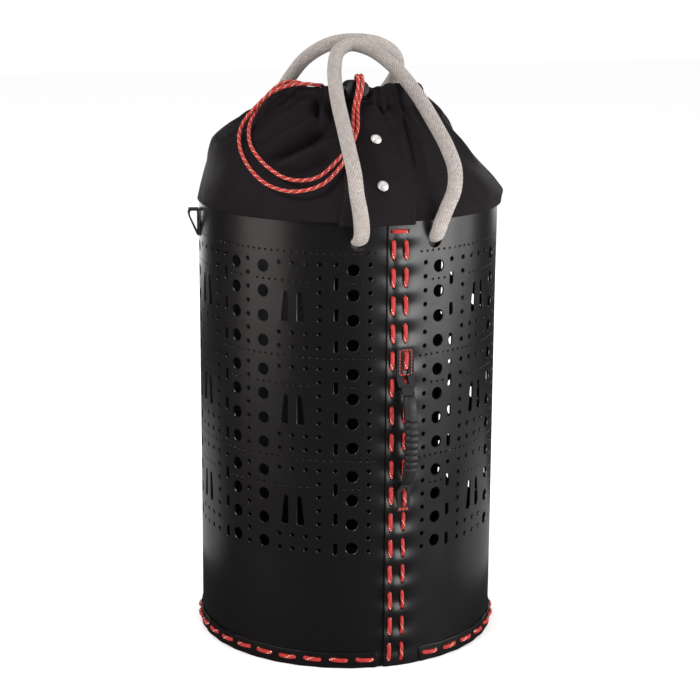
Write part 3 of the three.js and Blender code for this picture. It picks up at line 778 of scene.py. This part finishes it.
def make_shell():
    holes = wall_holes()
    grid, border = wall_grid(holes)
    outlines = [outline(0) for _, outline in holes]
    points, loops, start = [border], [list(range(len(border)))], len(border)
    for outline in outlines:
        points.append(outline)
        loops.append(list(range(start, start + len(outline))))
        start += len(outline)
    points = np.vstack([*points, grid])
    made = delaunay_2d_cdt([Vector(p) for p in points], [], loops, 0, 1e-4)
    flat, _, triangles, origin, _, face_origin = made
    flat = np.array([(p.x, p.y) for p in flat])
    new_of = {old: new for new, olds in enumerate(origin) for old in olds}
    keep = [t for t, ids in zip(triangles, face_origin) if ids and all(i == 0 for i in ids)]
    n = len(flat)
    outside, inside = on_wall(flat[:, 0], flat[:, 1], 0.0), on_wall(flat[:, 0], flat[:, 1], SHEET)
    parts = [outside, inside]
    faces = [list(t) for t in keep] + [[i + n for i in t[::-1]] for t in keep]
    start = 2 * n
    for loop, rings in zip(loops, wall_rims(border, holes)):
        ids = [new_of[i] for i in loop]
        k = len(ids)
        steps = [ids, *[list(range(start + j * k, start + (j + 1) * k)) for j in range(2)]]
        steps.append([i + n for i in ids])
        parts.extend(rings)
        start += 2 * k
        for a, b in zip(steps, steps[1:]):
            faces.extend([a[i], b[i], b[(i + 1) % k], a[(i + 1) % k]] for i in range(k))
    mesh = make_mesh("shell_skin", np.vstack(parts), faces, sharp=38)
    mend(mesh, close=False)
    shell = new_object("shell_skin", mesh, SHELL, "bag")
    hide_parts("shell_wall")


def wall_rims(border, holes):
    """For the border and each hole, the two rings between its outer and inner edges."""
    low, high = border[:, 0].min(), border[:, 0].max()
    grown = border.copy()
    grown[border[:, 0] <= low + 1e-6, 0] -= CHAMFER
    grown[border[:, 0] >= high - 1e-6, 0] += CHAMFER
    for ring in [grown, *[outline(CHAMFER) for _, outline in holes]]:
        yield [on_wall(ring[:, 0], ring[:, 1], depth) for depth in (CHAMFER, SHEET - CHAMFER)]


make_shell()


# ---- Base ----
def make_base():
    high = box_mm("base_disc")[1]
    r, top = high.x, high.z
    corners = [(0.01, 0), (r - 1.5, 0), (r, 1.5), (r, top), (r - SHEET, top), (r - SHEET, 2.5), (0.01, 2.5)]
    points, faces, uv = lathe(rounded_profile(corners, 0.9), (0, 0, 0), (0, 0, 1), 180)
    mesh = make_mesh("base_dish", points, faces, uv, sharp=50)
    mend(mesh)
    dish = new_object("base_dish", mesh, BASE, "bag")
    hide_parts("base_disc")


BAND_FROM, BAND_TO, BAND_TOP, BAND_THICK = 6.5, 350.0, 15.5, 1.2
BASE_STITCH_STEP = (BAND_TO - BAND_FROM) / BASE_STITCHES


def band_push(angle):
    """The band stands out a little between the stitches."""
    turn = (angle - BAND_FROM) / BASE_STITCH_STEP
    return 0.35 * np.cos(TAU * turn)


def make_band():
    """A strip round the foot, with rounded edges and ends, drawn in at each stitch."""
    angles = np.arange(BAND_FROM, BAND_TO + 0.01, 0.5)
    corners = [(0, 7), (0, 0), (BAND_THICK, 0), (BAND_THICK, BAND_TOP), (0, BAND_TOP), (0, 7)]
    rim = rounded_profile(corners, 0.45, 4)
    middle = BAND_TOP / 2
    rows = []
    for a in angles:
        wavy = 0.35 * math.sin(a / 7) + 0.2 * math.sin(a / 2.6 + 1)
        end = min(1.0, (a - BAND_FROM + 0.2) / 1.2, (BAND_TO - a + 0.2) / 1.2)
        for depth, z in rim:
            high = z + wavy * z / BAND_TOP
            x, y = on_circle(a, WALL_R + 0.8 + depth + band_push(a))
            rows.append((x, y, middle + (high - middle) * math.sqrt(max(0.05, 1 - (1 - end) ** 2))))
    faces = grid_faces(len(angles), len(rim), wrap_columns=True)
    last = (len(angles) - 1) * len(rim)
    faces += [list(range(len(rim))), list(range(last, last + len(rim)))[::-1]]
    mesh = make_mesh("foot_band", rows, faces, sharp=50)
    mend(mesh)
    band = new_object("foot_band", mesh, SHELL, "bag")
    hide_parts("base_band")


make_base()
make_band()


# ---- Lacing ----
SEAM_OUT = WALL_R + LAP_STEP + LACE_R * 0.62  # the middle of a lace that lies on the lap


def stitch(centre, half, out, through):
    """One stitch in (place along, distance out): up through its hole, over and down again."""
    return [
        (centre + half + 1.2, through),
        (centre + half * 0.98, out - 1.5),
        (centre + half * 0.6, out - 0.15),
        (centre, out + 0.1),
        (centre - half * 0.6, out - 0.15),
        (centre - half * 0.98, out - 1.5),
        (centre - half - 1.2, through),
    ]


def seam_rows():
    """The two rows' stitches as (place along the wall, height, radius) routes."""
    rng = random.Random(11)
    inside = WALL_R - SHEET - LACE_R - 0.4
    rows = []
    for side in (1, -1):
        route = []
        for k in range(STITCHES):
            z = STITCH_TOP - k * STITCH_PITCH
            half, out = STITCH_HALF, SEAM_OUT
            if side < 0 and k == 4:
                out = SEAM_OUT + 2.4
            if side < 0 and k == 9:
                z, half, out = z - 2.5, 6.6, SEAM_OUT + 2.4
            lean = rng.uniform(-0.35, 0.35)
            shift = rng.uniform(-0.25, 0.25)
            if k:
                route += [(side * SEAM_ROW, z + half + 5, inside)]
            for place, r in stitch(z + rng.uniform(-0.4, 0.4), half, out, WALL_R - 1):
                route.append((side * SEAM_ROW + shift + lean * (place - z) / half, place, r))
        rows.append(route)
    return rows


def make_seam_lacing():
    relief = braid(*LACE_BRAID, 0.24)
    over = stitch(0, SEAM_ROW, SEAM_OUT, WALL_R - 2)
    crossing = [(place, CROSSING_Z + 0.05 * place, r) for place, r in over]
    parts = []
    for route in [*seam_rows(), crossing]:
        points = [(*on_circle(math.degrees(s / WALL_R), r), z) for s, z, r in route]
        parts.append(tube(curve_through(points, 0.7), LACE_R, 20, relief, 0.86, 1.06, up=(0, -1, 0.01)))
    lacing = tubes_object("seam_lacing", parts, LACE, "bag")
    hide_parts("seam_lace")


def make_base_lacing():
    rng = random.Random(5)
    out = WALL_R + BAND_THICK + 0.8 + LACE_R * 0.62
    inside = WALL_R - 2 * SHEET - LACE_R - 2.2
    half = math.degrees(STITCH_HALF / WALL_R)
    down = [(0.6, out - 0.15), (0.98, out - 1.5), (1.16, WALL_R - 1)]
    over = [*[(-share, r) for share, r in down[::-1]], (0, out + 0.1), *down]
    route = []
    for k in range(BASE_STITCHES):
        centre = BAND_FROM + (k + 0.5) * BASE_STITCH_STEP
        z = BASE_STITCH_Z + rng.uniform(-0.3, 0.3)
        tilt = rng.uniform(-0.5, 0.5)
        route += [(centre + share * half, z + share * tilt, r) for share, r in over]
        if k < BASE_STITCHES - 1:
            route.append((centre + BASE_STITCH_STEP / 2, z, inside))
    points = [(*on_circle(a, r), z) for a, z, r in route]
    relief = braid(*LACE_BRAID, 0.24)
    part = tube(curve_through(points, 0.7), LACE_R, 20, relief, 1.05, 0.9)
    lacing = tubes_object("base_lacing", [part], LACE, "bag")
    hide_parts("base_lace")


make_seam_lacing()
make_base_lacing()


# ---- Collar ----
HEM_TOP = 557.5
HEM_INNER = 61.0
YARN = 0.55
GAP_MIDDLE, GAP_HALF = 14.5, 13.0  # where the hem opens for the lock

# Creases and ridges: their line as (angle, height) stops, width and height.
FOLDS = (
    ([(46, 553), (52, 536), (61, 519), (68, 506)], 11, 4.2),
    ([(31, 527), (40, 515), (48, 505), (58, 493)], 6.5, -8.0),
    ([(34, 536), (43, 525), (52, 514), (60, 504)], 6, 4.2),
    ([(42, 552), (39.5, 540), (36.5, 527)], 3.6, -4.5),
    ([(37.5, 554), (35.5, 540), (33, 527)], 3.2, 2.8),
    ([(33, 552), (31, 540), (29, 526)], 3.8, -3.2),
    ([(24, 518), (33, 506), (43, 495), (54, 482)], 7, 5.0),
    ([(27, 502), (37, 490), (48, 477)], 6, -3.0),
    ([(-4, 553), (-4, 545), (-5, 537)], 3.6, -3.0),
    ([(-16, 551), (-11, 543), (-5, 537)], 3.6, -3.0),
    ([(-9, 553), (-9, 544)], 4.5, 2.4),
    ([(-22, 552), (-11, 522), (-6, 497), (-3, 470)], 4.2, 2.4),
    ([(-26, 552), (-15, 522), (-10, 497), (-7, 470)], 4.5, -2.2),
    ([(-24, 535), (-18, 504), (-13, 474)], 4.5, 1.8),
    ([(-40, 551), (-36, 530), (-38, 505)], 8, -3.4),
    ([(-50, 552), (-48, 528), (-54, 500), (-60, 478)], 10, 3.4),
    ([(-66, 552), (-62, 530), (-70, 505)], 9, -3.4),
    ([(-84, 551), (-80, 528), (-90, 500)], 10, 3.6),
    ([(70, 552), (78, 530), (84, 508)], 8, -3.0),
    ([(86, 552), (93, 534), (104, 516)], 9, 2.0),
    ([(100, 552), (112, 532), (124, 510), (112, 490)], 10, -3.2),
    ([(124, 551), (129, 530), (127, 508)], 9, 1.6),
    ([(142, 551), (146, 528), (150, 506)], 9, -4.2),
    ([(160, 551), (165, 530), (172, 504), (178, 480)], 11, 4.0),
    ([(182, 551), (184, 528), (192, 508)], 9, -4.2),
    ([(202, 551), (206, 528), (202, 500), (198, 478)], 12, 3.8),
    ([(222, 551), (226, 530), (232, 510)], 9, -4.0),
    ([(240, 551), (246, 528), (250, 500)], 11, 3.4),
    ([(258, 551), (262, 530), (258, 508)], 9, -3.8),
)


def collar_base(angle, t):
    """The smooth collar. t is 0 at its lower edge, 1 at the rim and 2 inside the mouth."""
    angle, t = np.asarray(angle, float), np.asarray(t, float)
    r_rows, z_rows, higher = np.array(COLLAR, float).T
    away = distances(np.column_stack([r_rows, z_rows]))
    stops = away / away[-1]
    share = np.clip(t, 0, 1)

    def rounded_off(rows):
        near = (np.interp(np.clip(share + b, 0, 1), stops, rows) for b in COLLAR_BLUR)
        return sum(near) / len(COLLAR_BLUR)

    lift = np.cos(np.radians(angle - COLLAR_HIGH_SIDE))
    side = (angle + 360) % 360
    pulled = smooth((side - 64) / 34) * smooth((200 - side) / 50)
    r = rounded_off(r_rows) - pulled * np.interp(share, stops, PULLED_IN)
    return r, rounded_off(z_rows) + lift * rounded_off(higher)


def along_angle(angle):
    """Signed degrees from the seam."""
    return (np.asarray(angle) + 180) % 360 - 180


def hem_gap(angle):
    """1 where the hem is open for the lock, 0 elsewhere."""
    return smooth((GAP_HALF + 3 - np.abs(along_angle(angle) - GAP_MIDDLE)) / 6)


def fold_push(points):
    """How far the folds move points of the smooth collar along its normal."""
    push = np.zeros(len(points))
    for line, width, height in FOLDS:
        stops = np.array([(*on_circle(a, collar_radius(a, z)), z) for a, z in line])
        best, where = np.full(len(points), 1e9), np.zeros(len(points))
        total = np.linalg.norm(np.diff(stops, axis=0), axis=1).sum()
        gone = 0.0
        for a, b in zip(stops, stops[1:]):
            length = np.linalg.norm(b - a)
            share = np.clip((points - a) @ (b - a) / length**2, 0, 1)
            away = np.linalg.norm(points - (a + share[:, None] * (b - a)), axis=1)
            nearer = away < best
            best[nearer], where[nearer] = away[nearer], (gone + share[nearer] * length) / total
            gone += length
        taper = smooth((where + 0.12) / 0.3) * smooth((1.05 - where) / 0.45)
        push += height * (0.6 * bump(best, width) + 0.4 * bump(best, 0.5 * width)) * taper
    return push


def collar_radius(angle, z):
    t = np.linspace(0, 1, 60)
    r, heights = collar_base(angle, t)
    return float(np.interp(z, heights, r))


def gathers(angle):
    """The hem's fine gathers: an uneven wave round the rim, from about -1 to 1."""
    a = np.radians(angle)
    wander = 0.5 * np.sin(3 * a + 0.4) + 0.35 * np.sin(7 * a + 2)
    return 0.65 * np.sin(31 * a + 2.2 * wander) + 0.35 * np.sin(47 * a + 3 * wander + 1)


def rear_dip(angle):
    """How far the mouth's rim hangs down at the back, in mm."""
    return 12.5 * smooth((np.abs(along_angle(angle)) - 96) / 50)


def rim_rise(angle):
    a = np.radians(along_angle(angle))
    rise = 1.5 * np.sin(2 * a + 0.6) + 1.2 * np.sin(5 * a + 2.4)
    peaks = 4.5 * bump(along_angle(angle) + 17, 7) + 2.0 * bump(along_angle(angle) - 38, 5)
    return rise + peaks - 2.0 * bump(along_angle(angle) + 5, 6)


def collar_points(angle, t):
    """Points of the finished collar, its folds and its gathered hem included."""
    angle, t = np.broadcast_arrays(np.asarray(angle, float), np.asarray(t, float))
    a, t = angle.ravel(), t.ravel()
    r, z = collar_base(a, t)
    r2, z2 = collar_base(a, np.clip(t, 0.002, 0.998) + 0.002)
    r1, z1 = collar_base(a, np.clip(t, 0.002, 0.998) - 0.002)
    slope = np.hypot(r2 - r1, z2 - z1)
    nr, nz = (z2 - z1) / slope, (r1 - r2) / slope
    out = np.column_stack([-np.sin(np.radians(a)), -np.cos(np.radians(a))])
    base = np.column_stack([out * r[:, None], z])
    cone = smooth(t / 0.12) * smooth((1.02 - t) / 0.06)
    push = 1.5 * fold_push(base) * cone
    wave = gathers(a)
    push += 2.3 * wave * smooth((t - 0.72) / 0.28) * (1 - smooth((t - 1) / 0.1))
    push += 0.6 * np.sin(6 * np.radians(a) + 1) * smooth(t / 0.3) * cone
    points = base + np.column_stack([out * (nr * push)[:, None], nz * push])
    over = np.clip(t - 1, 0, 1)
    gap = hem_gap(a)
    half = (COLLAR[-1][0] - HEM_INNER) / 2
    swing = np.pi * over
    rise = (HEM_TOP - COLLAR[-1][1] + rim_rise(a)) * (1 - 0.85 * gap)
    hem_r = COLLAR[-1][0] - half + (half + 1.2 * wave * np.sin(swing)) * np.cos(swing)
    hem_z = COLLAR[-1][1] + rise * np.sin(swing) ** 0.6 + 0.8 * wave * np.sin(swing)
    hem_z -= 5 * smooth((over - 0.75) / 0.25)
    hem_r += 2.3 * wave * nr * (1 - over) * (over < 0.5)
    folded = t > 1
    points[folded] = np.column_stack([out * hem_r[:, None], hem_z])[folded]
    points[:, 0] += 3.5 * smooth(t / 0.2) * smooth((0.95 - t) / 0.4)
    points[:, 2] -= rear_dip(a) * smooth((t - 0.45) / 0.5)
    return points


def make_collar():
    angles = np.arange(0, 360, 0.6)
    ts = np.concatenate([np.linspace(0, 0.72, 70), np.linspace(0.73, 1, 36), np.linspace(1.03, 2, 26)])
    grid_a, grid_t = np.meshgrid(angles, ts)
    points = collar_points(grid_a, grid_t)
    faces = grid_faces(len(ts), len(angles), wrap_columns=True)
    uv = np.column_stack([grid_a.ravel() / 360 * TAU * 110, grid_t.ravel() * 175]) / YARN
    mesh = make_mesh("collar_cloth", points, faces, uv, sharp=180)
    collar = new_object("collar_cloth", mesh, CLOTH, "bag")
    thicken(collar, 0.9)
    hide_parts("collar", "drawcord_channel")
    return collar


def thicken(obj, thickness):
    solid = obj.modifiers.new("thickness", "SOLIDIFY")
    solid.thickness = thickness * MM
    solid.offset = -1.0
    solid.use_even_offset = False


FLAP_FROM, FLAP_TO = -5.8, 22.0


def flap_slant(z):
    return 4.0 * smooth((z - 440) / 70)


def flap_points(shares, heights, out):
    """Points a little outside the finished collar. shares run from 0 at the flap's right edge,
    which slants in towards its top, to 1 at its left edge."""
    t = np.linspace(0, 1, 160)
    spread = np.arange(FLAP_FROM - 1, FLAP_TO + 1.1, 0.25)
    table = []
    for a in spread:
        line = collar_points(np.full_like(t, a), t)
        z = np.maximum.accumulate(line[:, 2])
        table.append([np.interp(heights, z, line[:, k]) for k in (0, 1)])
    table = np.array(table)
    rows = []
    for share in shares:
        slant = flap_slant(heights)
        angle = FLAP_FROM + slant + share * (FLAP_TO - FLAP_FROM - slant)
        where = (angle - spread[0]) / 0.25
        low = np.clip(where.astype(int), 0, len(spread) - 2)
        part, k = where - low, np.arange(len(heights))
        xy = np.array([table[low, axis, k] * (1 - part) + table[low + 1, axis, k] * part for axis in (0, 1)])
        r = np.hypot(*xy)
        rows.append(np.column_stack([*(xy * (1 + out(share) / r)), heights]))
    return np.vstack(rows)


def flap_lift(share):
    """The flap's distance off the collar: a folded, stitched edge on either side."""
    edges = bump(share - 0.04, 0.035) + bump(share - 0.96, 0.035)
    return 0.3 + 1.5 * smooth(share / 0.05) + 0.7 * edges


def make_flap():
    """The front overlap: a second layer down the front, over the collar's lower edge."""
    shares = np.linspace(0, 1, 80)
    heights = np.linspace(440.5, 546, 110)
    points = flap_points(shares, heights, flap_lift)
    faces = grid_faces(len(shares), len(heights))
    a, z = np.meshgrid(shares, heights, indexing="ij")
    uv = np.column_stack([a.ravel() * 60, z.ravel()]) / YARN
    mesh = make_mesh("collar_overlap", points, faces, uv, sharp=180)
    flap = new_object("collar_overlap", mesh, CLOTH, "bag")
    thicken(flap, 0.9)
    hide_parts("collar_flap")
    return flap


def thread_line(points, length, gap, radius):
    """Short raised stitches laid along a line of points."""
    path = curve_through(points, 0.25)
    along = distances(path)
    parts, at = [], 0.0
    while at + length < along[-1]:
        s = np.linspace(at, at + length, 6)
        piece = np.column_stack([np.interp(s, along, path[:, k]) for k in range(3)])
        parts.append(tube(piece, radius, 6))
        at += length + gap
    return parts


def make_collar_stitching():
    parts = []
    for t, step in ((0.085, 4), (0.985, 3)):
        angles = np.arange(0, 360.1, step)
        line = collar_points(angles, np.full_like(angles, t))
        line[:, :2] *= 1 + 0.15 / np.hypot(line[:, 0], line[:, 1])[:, None]
        parts += thread_line(line, 2.6, 0.9, 0.28)
    for share in (0.03, 0.935, 0.965):
        line = flap_points([share], np.linspace(442.5, 544, 50), lambda s: flap_lift(s) + 0.15)
        parts += thread_line(line, 2.6, 0.9, 0.28)
    tubes_object("collar_stitching", parts, THREAD, "bag")


make_drawcord_ring()
collar = make_collar()
flap = make_flap()
make_collar_stitching()


# ---- Snaps ----
SNAPS = {"upper": (6.3, 516.0), "lower": (7.3, 477.0)}


def make_snaps():
    for where, (angle, z) in SNAPS.items():
        start = FLAP_FROM + flap_slant(z)
        share = (angle - start) / (FLAP_TO - start)
        near = flap_points([share - 0.08, share + 0.08], np.array([z - 4, z + 4]), flap_lift)
        centre = near.mean(0)
        normal = np.cross(near[1] - near[0], near[2] - near[0])
        normal *= np.sign(normal @ np.array((*on_circle(angle, 1), 0))) / np.linalg.norm(normal)
        dome = [(0.01, 3.3), (2.2, 3.1), (3.7, 2.3), (4.6, 1.2), (5.0, 0.5), (5.3, 0.35), (5.3, -0.4)]
        turned = lathe(rounded_profile(dome, 1.2), centre, normal, 48)
        mesh = make_mesh(f"snap_dome_{where}", *turned, sharp=60)
        mend(mesh, close=False)
        cap = new_object(f"snap_dome_{where}", mesh, METAL, "bag")
        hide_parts(f"snap_cap_{where}")
        # A dark ring round each dome, in the lock's black plastic.
        ring = [(5.2, -0.4), (5.2, 0.5), (6.7, 0.45), (6.9, -0.4)]
        mesh = make_mesh(f"snap_dark_ring_{where}", *lathe(rounded_profile(ring, 0.4), centre, normal, 48))
        mend(mesh, close=False)
        new_object(f"snap_dark_ring_{where}", mesh, LOCK, "bag")


make_snaps()


# ---- Rope handles ----
# One leg of an arch: half width, reach from the axis, height, and sideways lean.
ARCHES = {
    "front": [
        (38, 148.5, 428, 0), (38.4, 153, 434, 0), (39.8, 156.5, 443, 0), (43.3, 161.5, 457, 0),
        (48, 166, 474, 0), (49.5, 163, 492, 0), (48.5, 145, 511, 0), (46, 124, 527, 0),
        (40, 82, 556, 0), (30, 45, 578.5, 0), (16, 18, 592.5, 0), (0, 9, 597, 0),
    ],
    "rear": [
        (38, 148.5, 428, 0), (38.4, 153, 434, 0), (40.3, 156.5, 443, 0), (45.5, 161.5, 457, 1),
        (52, 167, 474, 5), (55, 161, 493, 9), (57, 143, 513, 14), (58, 120, 530, 18),
        (57, 78, 560.5, 22), (46, 42, 582, 17), (24, 16, 596, 10), (0, 9, 599.5, 5),
    ],
}


def make_handle(where, side):
    """The arch, its hollow sheath pressed flat where it turns through the wall."""
    inside = [(38, 132, 424, 0), (38, 142.5, 425.3, 0)]
    full = inside + ARCHES[where]
    left = [(-w + lean, side * y, z) for w, y, z, lean in full]
    right = [(w + lean, side * y, z) for w, y, z, lean in full]
    path = curve_through([*left, *right[::-1][1:]], 0.75)
    pressed = smooth((472 - path[:, 2]) / 34)
    relief = braid(*ROPE_BRAID, 0.5)
    rope = tube(path, ROPE_R - 0.1, 96, relief, 1 - 0.34 * pressed, 1 + 0.1 * pressed, up=(0, 0, 1))
    mesh = make_mesh(f"{where}_rope", *rope, sharp=80)
    mend(mesh, face_out=False)
    obj = new_object(f"{where}_rope", mesh, ROPE, None)
    start, end = (0, side * 0.145, 0.424), (0, side * 0.156, 0.440)
    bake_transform(obj)
    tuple(start)
    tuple(end)
    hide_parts(f"{where}_handle_rope")


def make_stopper(where, name, way, side):
    """A barrel knot: the rope's end wound round itself behind the wall."""
    outward = np.array((way * HANDLE_HALF, side * math.sqrt(WALL_R**2 - HANDLE_HALF**2), 0)) / WALL_R
    across = np.array((-outward[1], outward[0], 0))
    turn = TAU * np.linspace(0, 2.6, 90)[:, None]
    out = np.linspace(138.5, 120, 90)[:, None]
    coil = out * outward + 8.8 * np.cos(turn) * across + (HANDLE_Z + 8.8 * np.sin(turn)) * (0, 0, 1)
    relief = braid(*ROPE_BRAID, 0.4)
    wound = tube(curve_through(coil, 0.9), 5.4, 32, relief)
    middle = curve_through([r * outward + (0, 0, HANDLE_Z) for r in (134, 124, 117)], 0.9)
    core = tube(middle, 5.0, 32, relief)
    knot = tubes_object(f"{where}_stopper_{name}", [wound, core], ROPE, "bag")
    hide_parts(f"{where}_knot_{name}")


for where, side in (("front", -1), ("rear", 1)):
    make_handle(where, side)
    for name, way in (("left", -1), ("right", 1)):
        make_stopper(where, name, way, side)


# ---- Grab handle ----
GRIP_LOW, GRIP_HIGH = (box_mm("grab_grip")[i].z for i in (0, 1))
GRIP_BOW, GRIP_HALF_WIDTH, GRIP_HALF_DEPTH = 9.0, 7.0, 6.0
PIVOT_Y = -160.5


def make_grip():
    """Moulded rubber: a smooth neck at each end, rounded ribs between."""
    middle, span = (GRIP_LOW + GRIP_HIGH) / 2, (GRIP_HIGH - GRIP_LOW) / 2
    z = np.linspace(GRIP_LOW, GRIP_HIGH, 330)
    neck_low, neck_high = GRIP_LOW + 12, GRIP_HIGH - 17
    ribs = 9
    in_ribs = smooth((z - neck_low) / 2) * smooth((neck_high - z) / 2)
    wave = np.abs(np.sin(np.pi * ribs * (z - neck_low) / (neck_high - neck_low))) ** 0.55
    size = 0.93 - 0.16 * in_ribs + 0.23 * in_ribs * wave
    ends = np.minimum(z - GRIP_LOW, GRIP_HIGH - z)
    size *= 0.72 + 0.28 * np.sqrt(np.clip(1 - (1 - np.clip(ends / 9, 0, 1)) ** 2, 0, 1))
    y = PIVOT_Y - 4.5 - GRIP_BOW * (1 - ((z - middle) / span) ** 2)
    n = 48
    turn = np.arange(n) / n * TAU
    c, s = (np.sign(x) * np.abs(x) ** 0.85 for x in (np.cos(turn), np.sin(turn)))
    rows = [
        np.column_stack([GRAB_X + GRIP_HALF_WIDTH * k * c, v + GRIP_HALF_DEPTH * k * s, np.full(n, h)])
        for h, v, k in zip(z, y, size)
    ]
    points = np.vstack([*rows, (GRAB_X, y[0], z[0]), (GRAB_X, y[-1], z[-1])])
    faces = grid_faces(len(z), n, wrap_columns=True)
    low, high, last = len(points) - 2, len(points) - 1, (len(z) - 1) * n
    faces += [[low, (j + 1) % n, j] for j in range(n)]
    faces += [[high, last + j, last + (j + 1) % n] for j in range(n)]
    mesh = make_mesh("grab_grip_rubber", points, faces, sharp=70)
    mend(mesh, close=False)
    grip = new_object("grab_grip_rubber", mesh, RUBBER, "grab_handle")
    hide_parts("grab_grip")


def dress(node, material, bevel, segments=3):
    """Keeps a CAD node's shape, with softened edges and its own finish."""
    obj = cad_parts[node]
    for slot in obj.material_slots:
        slot.material = material
    soften = obj.modifiers.new("soft_edges", "BEVEL")
    soften.width = bevel * MM
    soften.segments = segments
    soften.limit_method = "ANGLE"
    soften.angle_limit = math.radians(35)
    soften.harden_normals = True


def make_tab_stitching():
    """The box of red stitching round the upper tab's lace, and the bar below the lower tab."""
    low, high = box_mm("grab_tab_upper")
    y = -(WALL_R + LAP_STEP + 0.4 + 1.8 + 0.25)
    x0, x1 = low.x + 2.6, high.x - 2.6
    z0, z1 = 296.5, high.z - 2.6
    corners = [(x0, y, z0), (x1, y, z0), (x1, y, z1), (x0, y, z1)]
    parts = []
    for a, b in zip(corners, corners[1:] + corners[:1]):
        parts += thread_line([a, b], 2.9, 0.5, 0.42)
    low, high = box_mm("grab_tab_lower")
    for z in (low.z + 1.8, low.z + 3.2):
        parts += thread_line([(low.x + 1.2, y, z), (high.x - 1.2, y, z)], 2.9, 0.5, 0.45)
    tubes_object("tab_stitching", parts, STITCH_THREAD, "bag")


make_grip()
for node in ("grab_tab_upper", "grab_tab_lower", "side_loop_left", "side_loop_right"):
    dress(node, WEBBING, 0.5)
for node in ("grab_strap_upper", "grab_strap_lower"):
    dress(node, WEBBING, 0.6)
make_tab_stitching()


# ---- Cord lock and the small metal pieces ----
def make_lock_spring():
    """The steel coil in front of the button, built at one length; it does not shorten here as the button goes
    in.
    """
    low, high = box_mm("cord_lock_spring")
    wire, turns = 0.45, 3.5
    middle = np.array(((low.x + high.x) / 2, low.y, (low.z + high.z) / 2))
    coil_r = (high.z - low.z) / 2 - wire
    t = np.linspace(0, TAU * turns, 180)
    y = np.linspace(low.y + wire, high.y - wire, len(t))
    path = np.column_stack([middle[0] + coil_r * np.cos(t), y, middle[2] + coil_r * np.sin(t)])
    parts = [tube(path, wire, 12, up=(0, 1, 0))]
    coil = tubes_object("lock_spring_coil", parts, STEEL, "bag")
    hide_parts("cord_lock_spring")
    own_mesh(coil)


dress("cord_lock_body", LOCK, 0.7, 4)
dress("cord_lock_button", LOCK, 0.4)
make_lock_spring()
for where in SNAPS:
    dress(f"snap_socket_{where}", METAL, 0.3)


# ---- Floor and light ----
def make_floor():
    size = 6.0
    mesh = bpy.data.meshes.new("floor")
    corners = [(-size, -size, 0), (size, -size, 0), (size, size, 0), (-size, size, 0)]
    mesh.from_pydata(corners, [], [[0, 1, 2, 3]])
    floor = bpy.data.objects.new("floor", mesh)
    floor.location.z = -0.0003
    bpy.context.scene.collection.objects.link(floor)
    look = Look("floor", (0.97, 0.97, 0.97), 1.0, Specular_IOR_Level=0.0)
    mesh.materials.append(look.material)
    floor.visible_glossy = False


def make_light(name, angle, reach, height, width, tall, watts, aim, color=(1, 1, 1)):
    """A softbox at an angle round the bag, facing the height aim on the bag's axis."""
    data = bpy.data.lights.new(name, "AREA")
    data.color = color
    data.shape = "RECTANGLE"
    data.size, data.size_y = width, tall
    data.energy = watts
    light = bpy.data.objects.new(name, data)
    x, y = on_circle(angle, reach)
    light.location = (x, y, height)
    light.rotation_euler = (Vector((0, 0, aim)) - light.location).to_track_quat("-Z", "Y").to_euler()
    bpy.context.scene.collection.objects.link(light)


def make_world():
    """White to the camera and to matt surfaces, and dim in reflections, as in a dark studio."""
    world = bpy.data.worlds.new("studio")
    bpy.context.scene.world = world
    world.use_nodes = True
    tree = world.node_tree
    rays = tree.nodes.new("ShaderNodeLightPath")
    level = None
    for ray, strength in (("Is Camera Ray", 1.0), ("Is Diffuse Ray", 1.0), ("Is Glossy Ray", 0.04)):
        part = tree.nodes.new("ShaderNodeMath")
        part.operation = "MULTIPLY_ADD"
        part.inputs[1].default_value = strength
        part.inputs[2].default_value = 0
        tree.links.new(rays.outputs[ray], part.inputs[0])
        if level:
            tree.links.new(level, part.inputs[2])
        level = part.outputs[0]
    background = tree.nodes["Background"]
    background.inputs["Color"].default_value = (1, 1, 1, 1)
    tree.links.new(level, background.inputs["Strength"])


make_floor()
make_world()
WARM = (1.0, 0.9, 0.88)
make_light("left", 84, 1.5, 0.4, 1.0, 0.8, 5.0, 0.25, WARM)
make_light("front_right", -40, 1.7, 0.42, 1.7, 0.8, 30, 0.25)
make_light("right", -78, 1.9, 0.5, 0.5, 1.0, 5, 0.25)
make_light("overhead", 0, 0.01, 2.6, 2.6, 2.6, 12, 0.0)
make_light("upper_left", 62, 1.5, 1.5, 0.35, 0.35, 15, 0.5)
make_light("behind_left", 172, 1.9, 0.3, 0.9, 0.6, 4.5, 0.25)
make_light("behind_right", -135, 2.0, 0.5, 0.8, 0.8, 4, 0.3)
make_light("low_left", 150, 0.58, 0.006, 0.5, 0.6, 0.5, 99)
make_light("low_right", -96, 0.55, 0.006, 0.4, 0.6, 0.35, 99)
bpy.context.scene.view_settings.view_transform = "Standard"
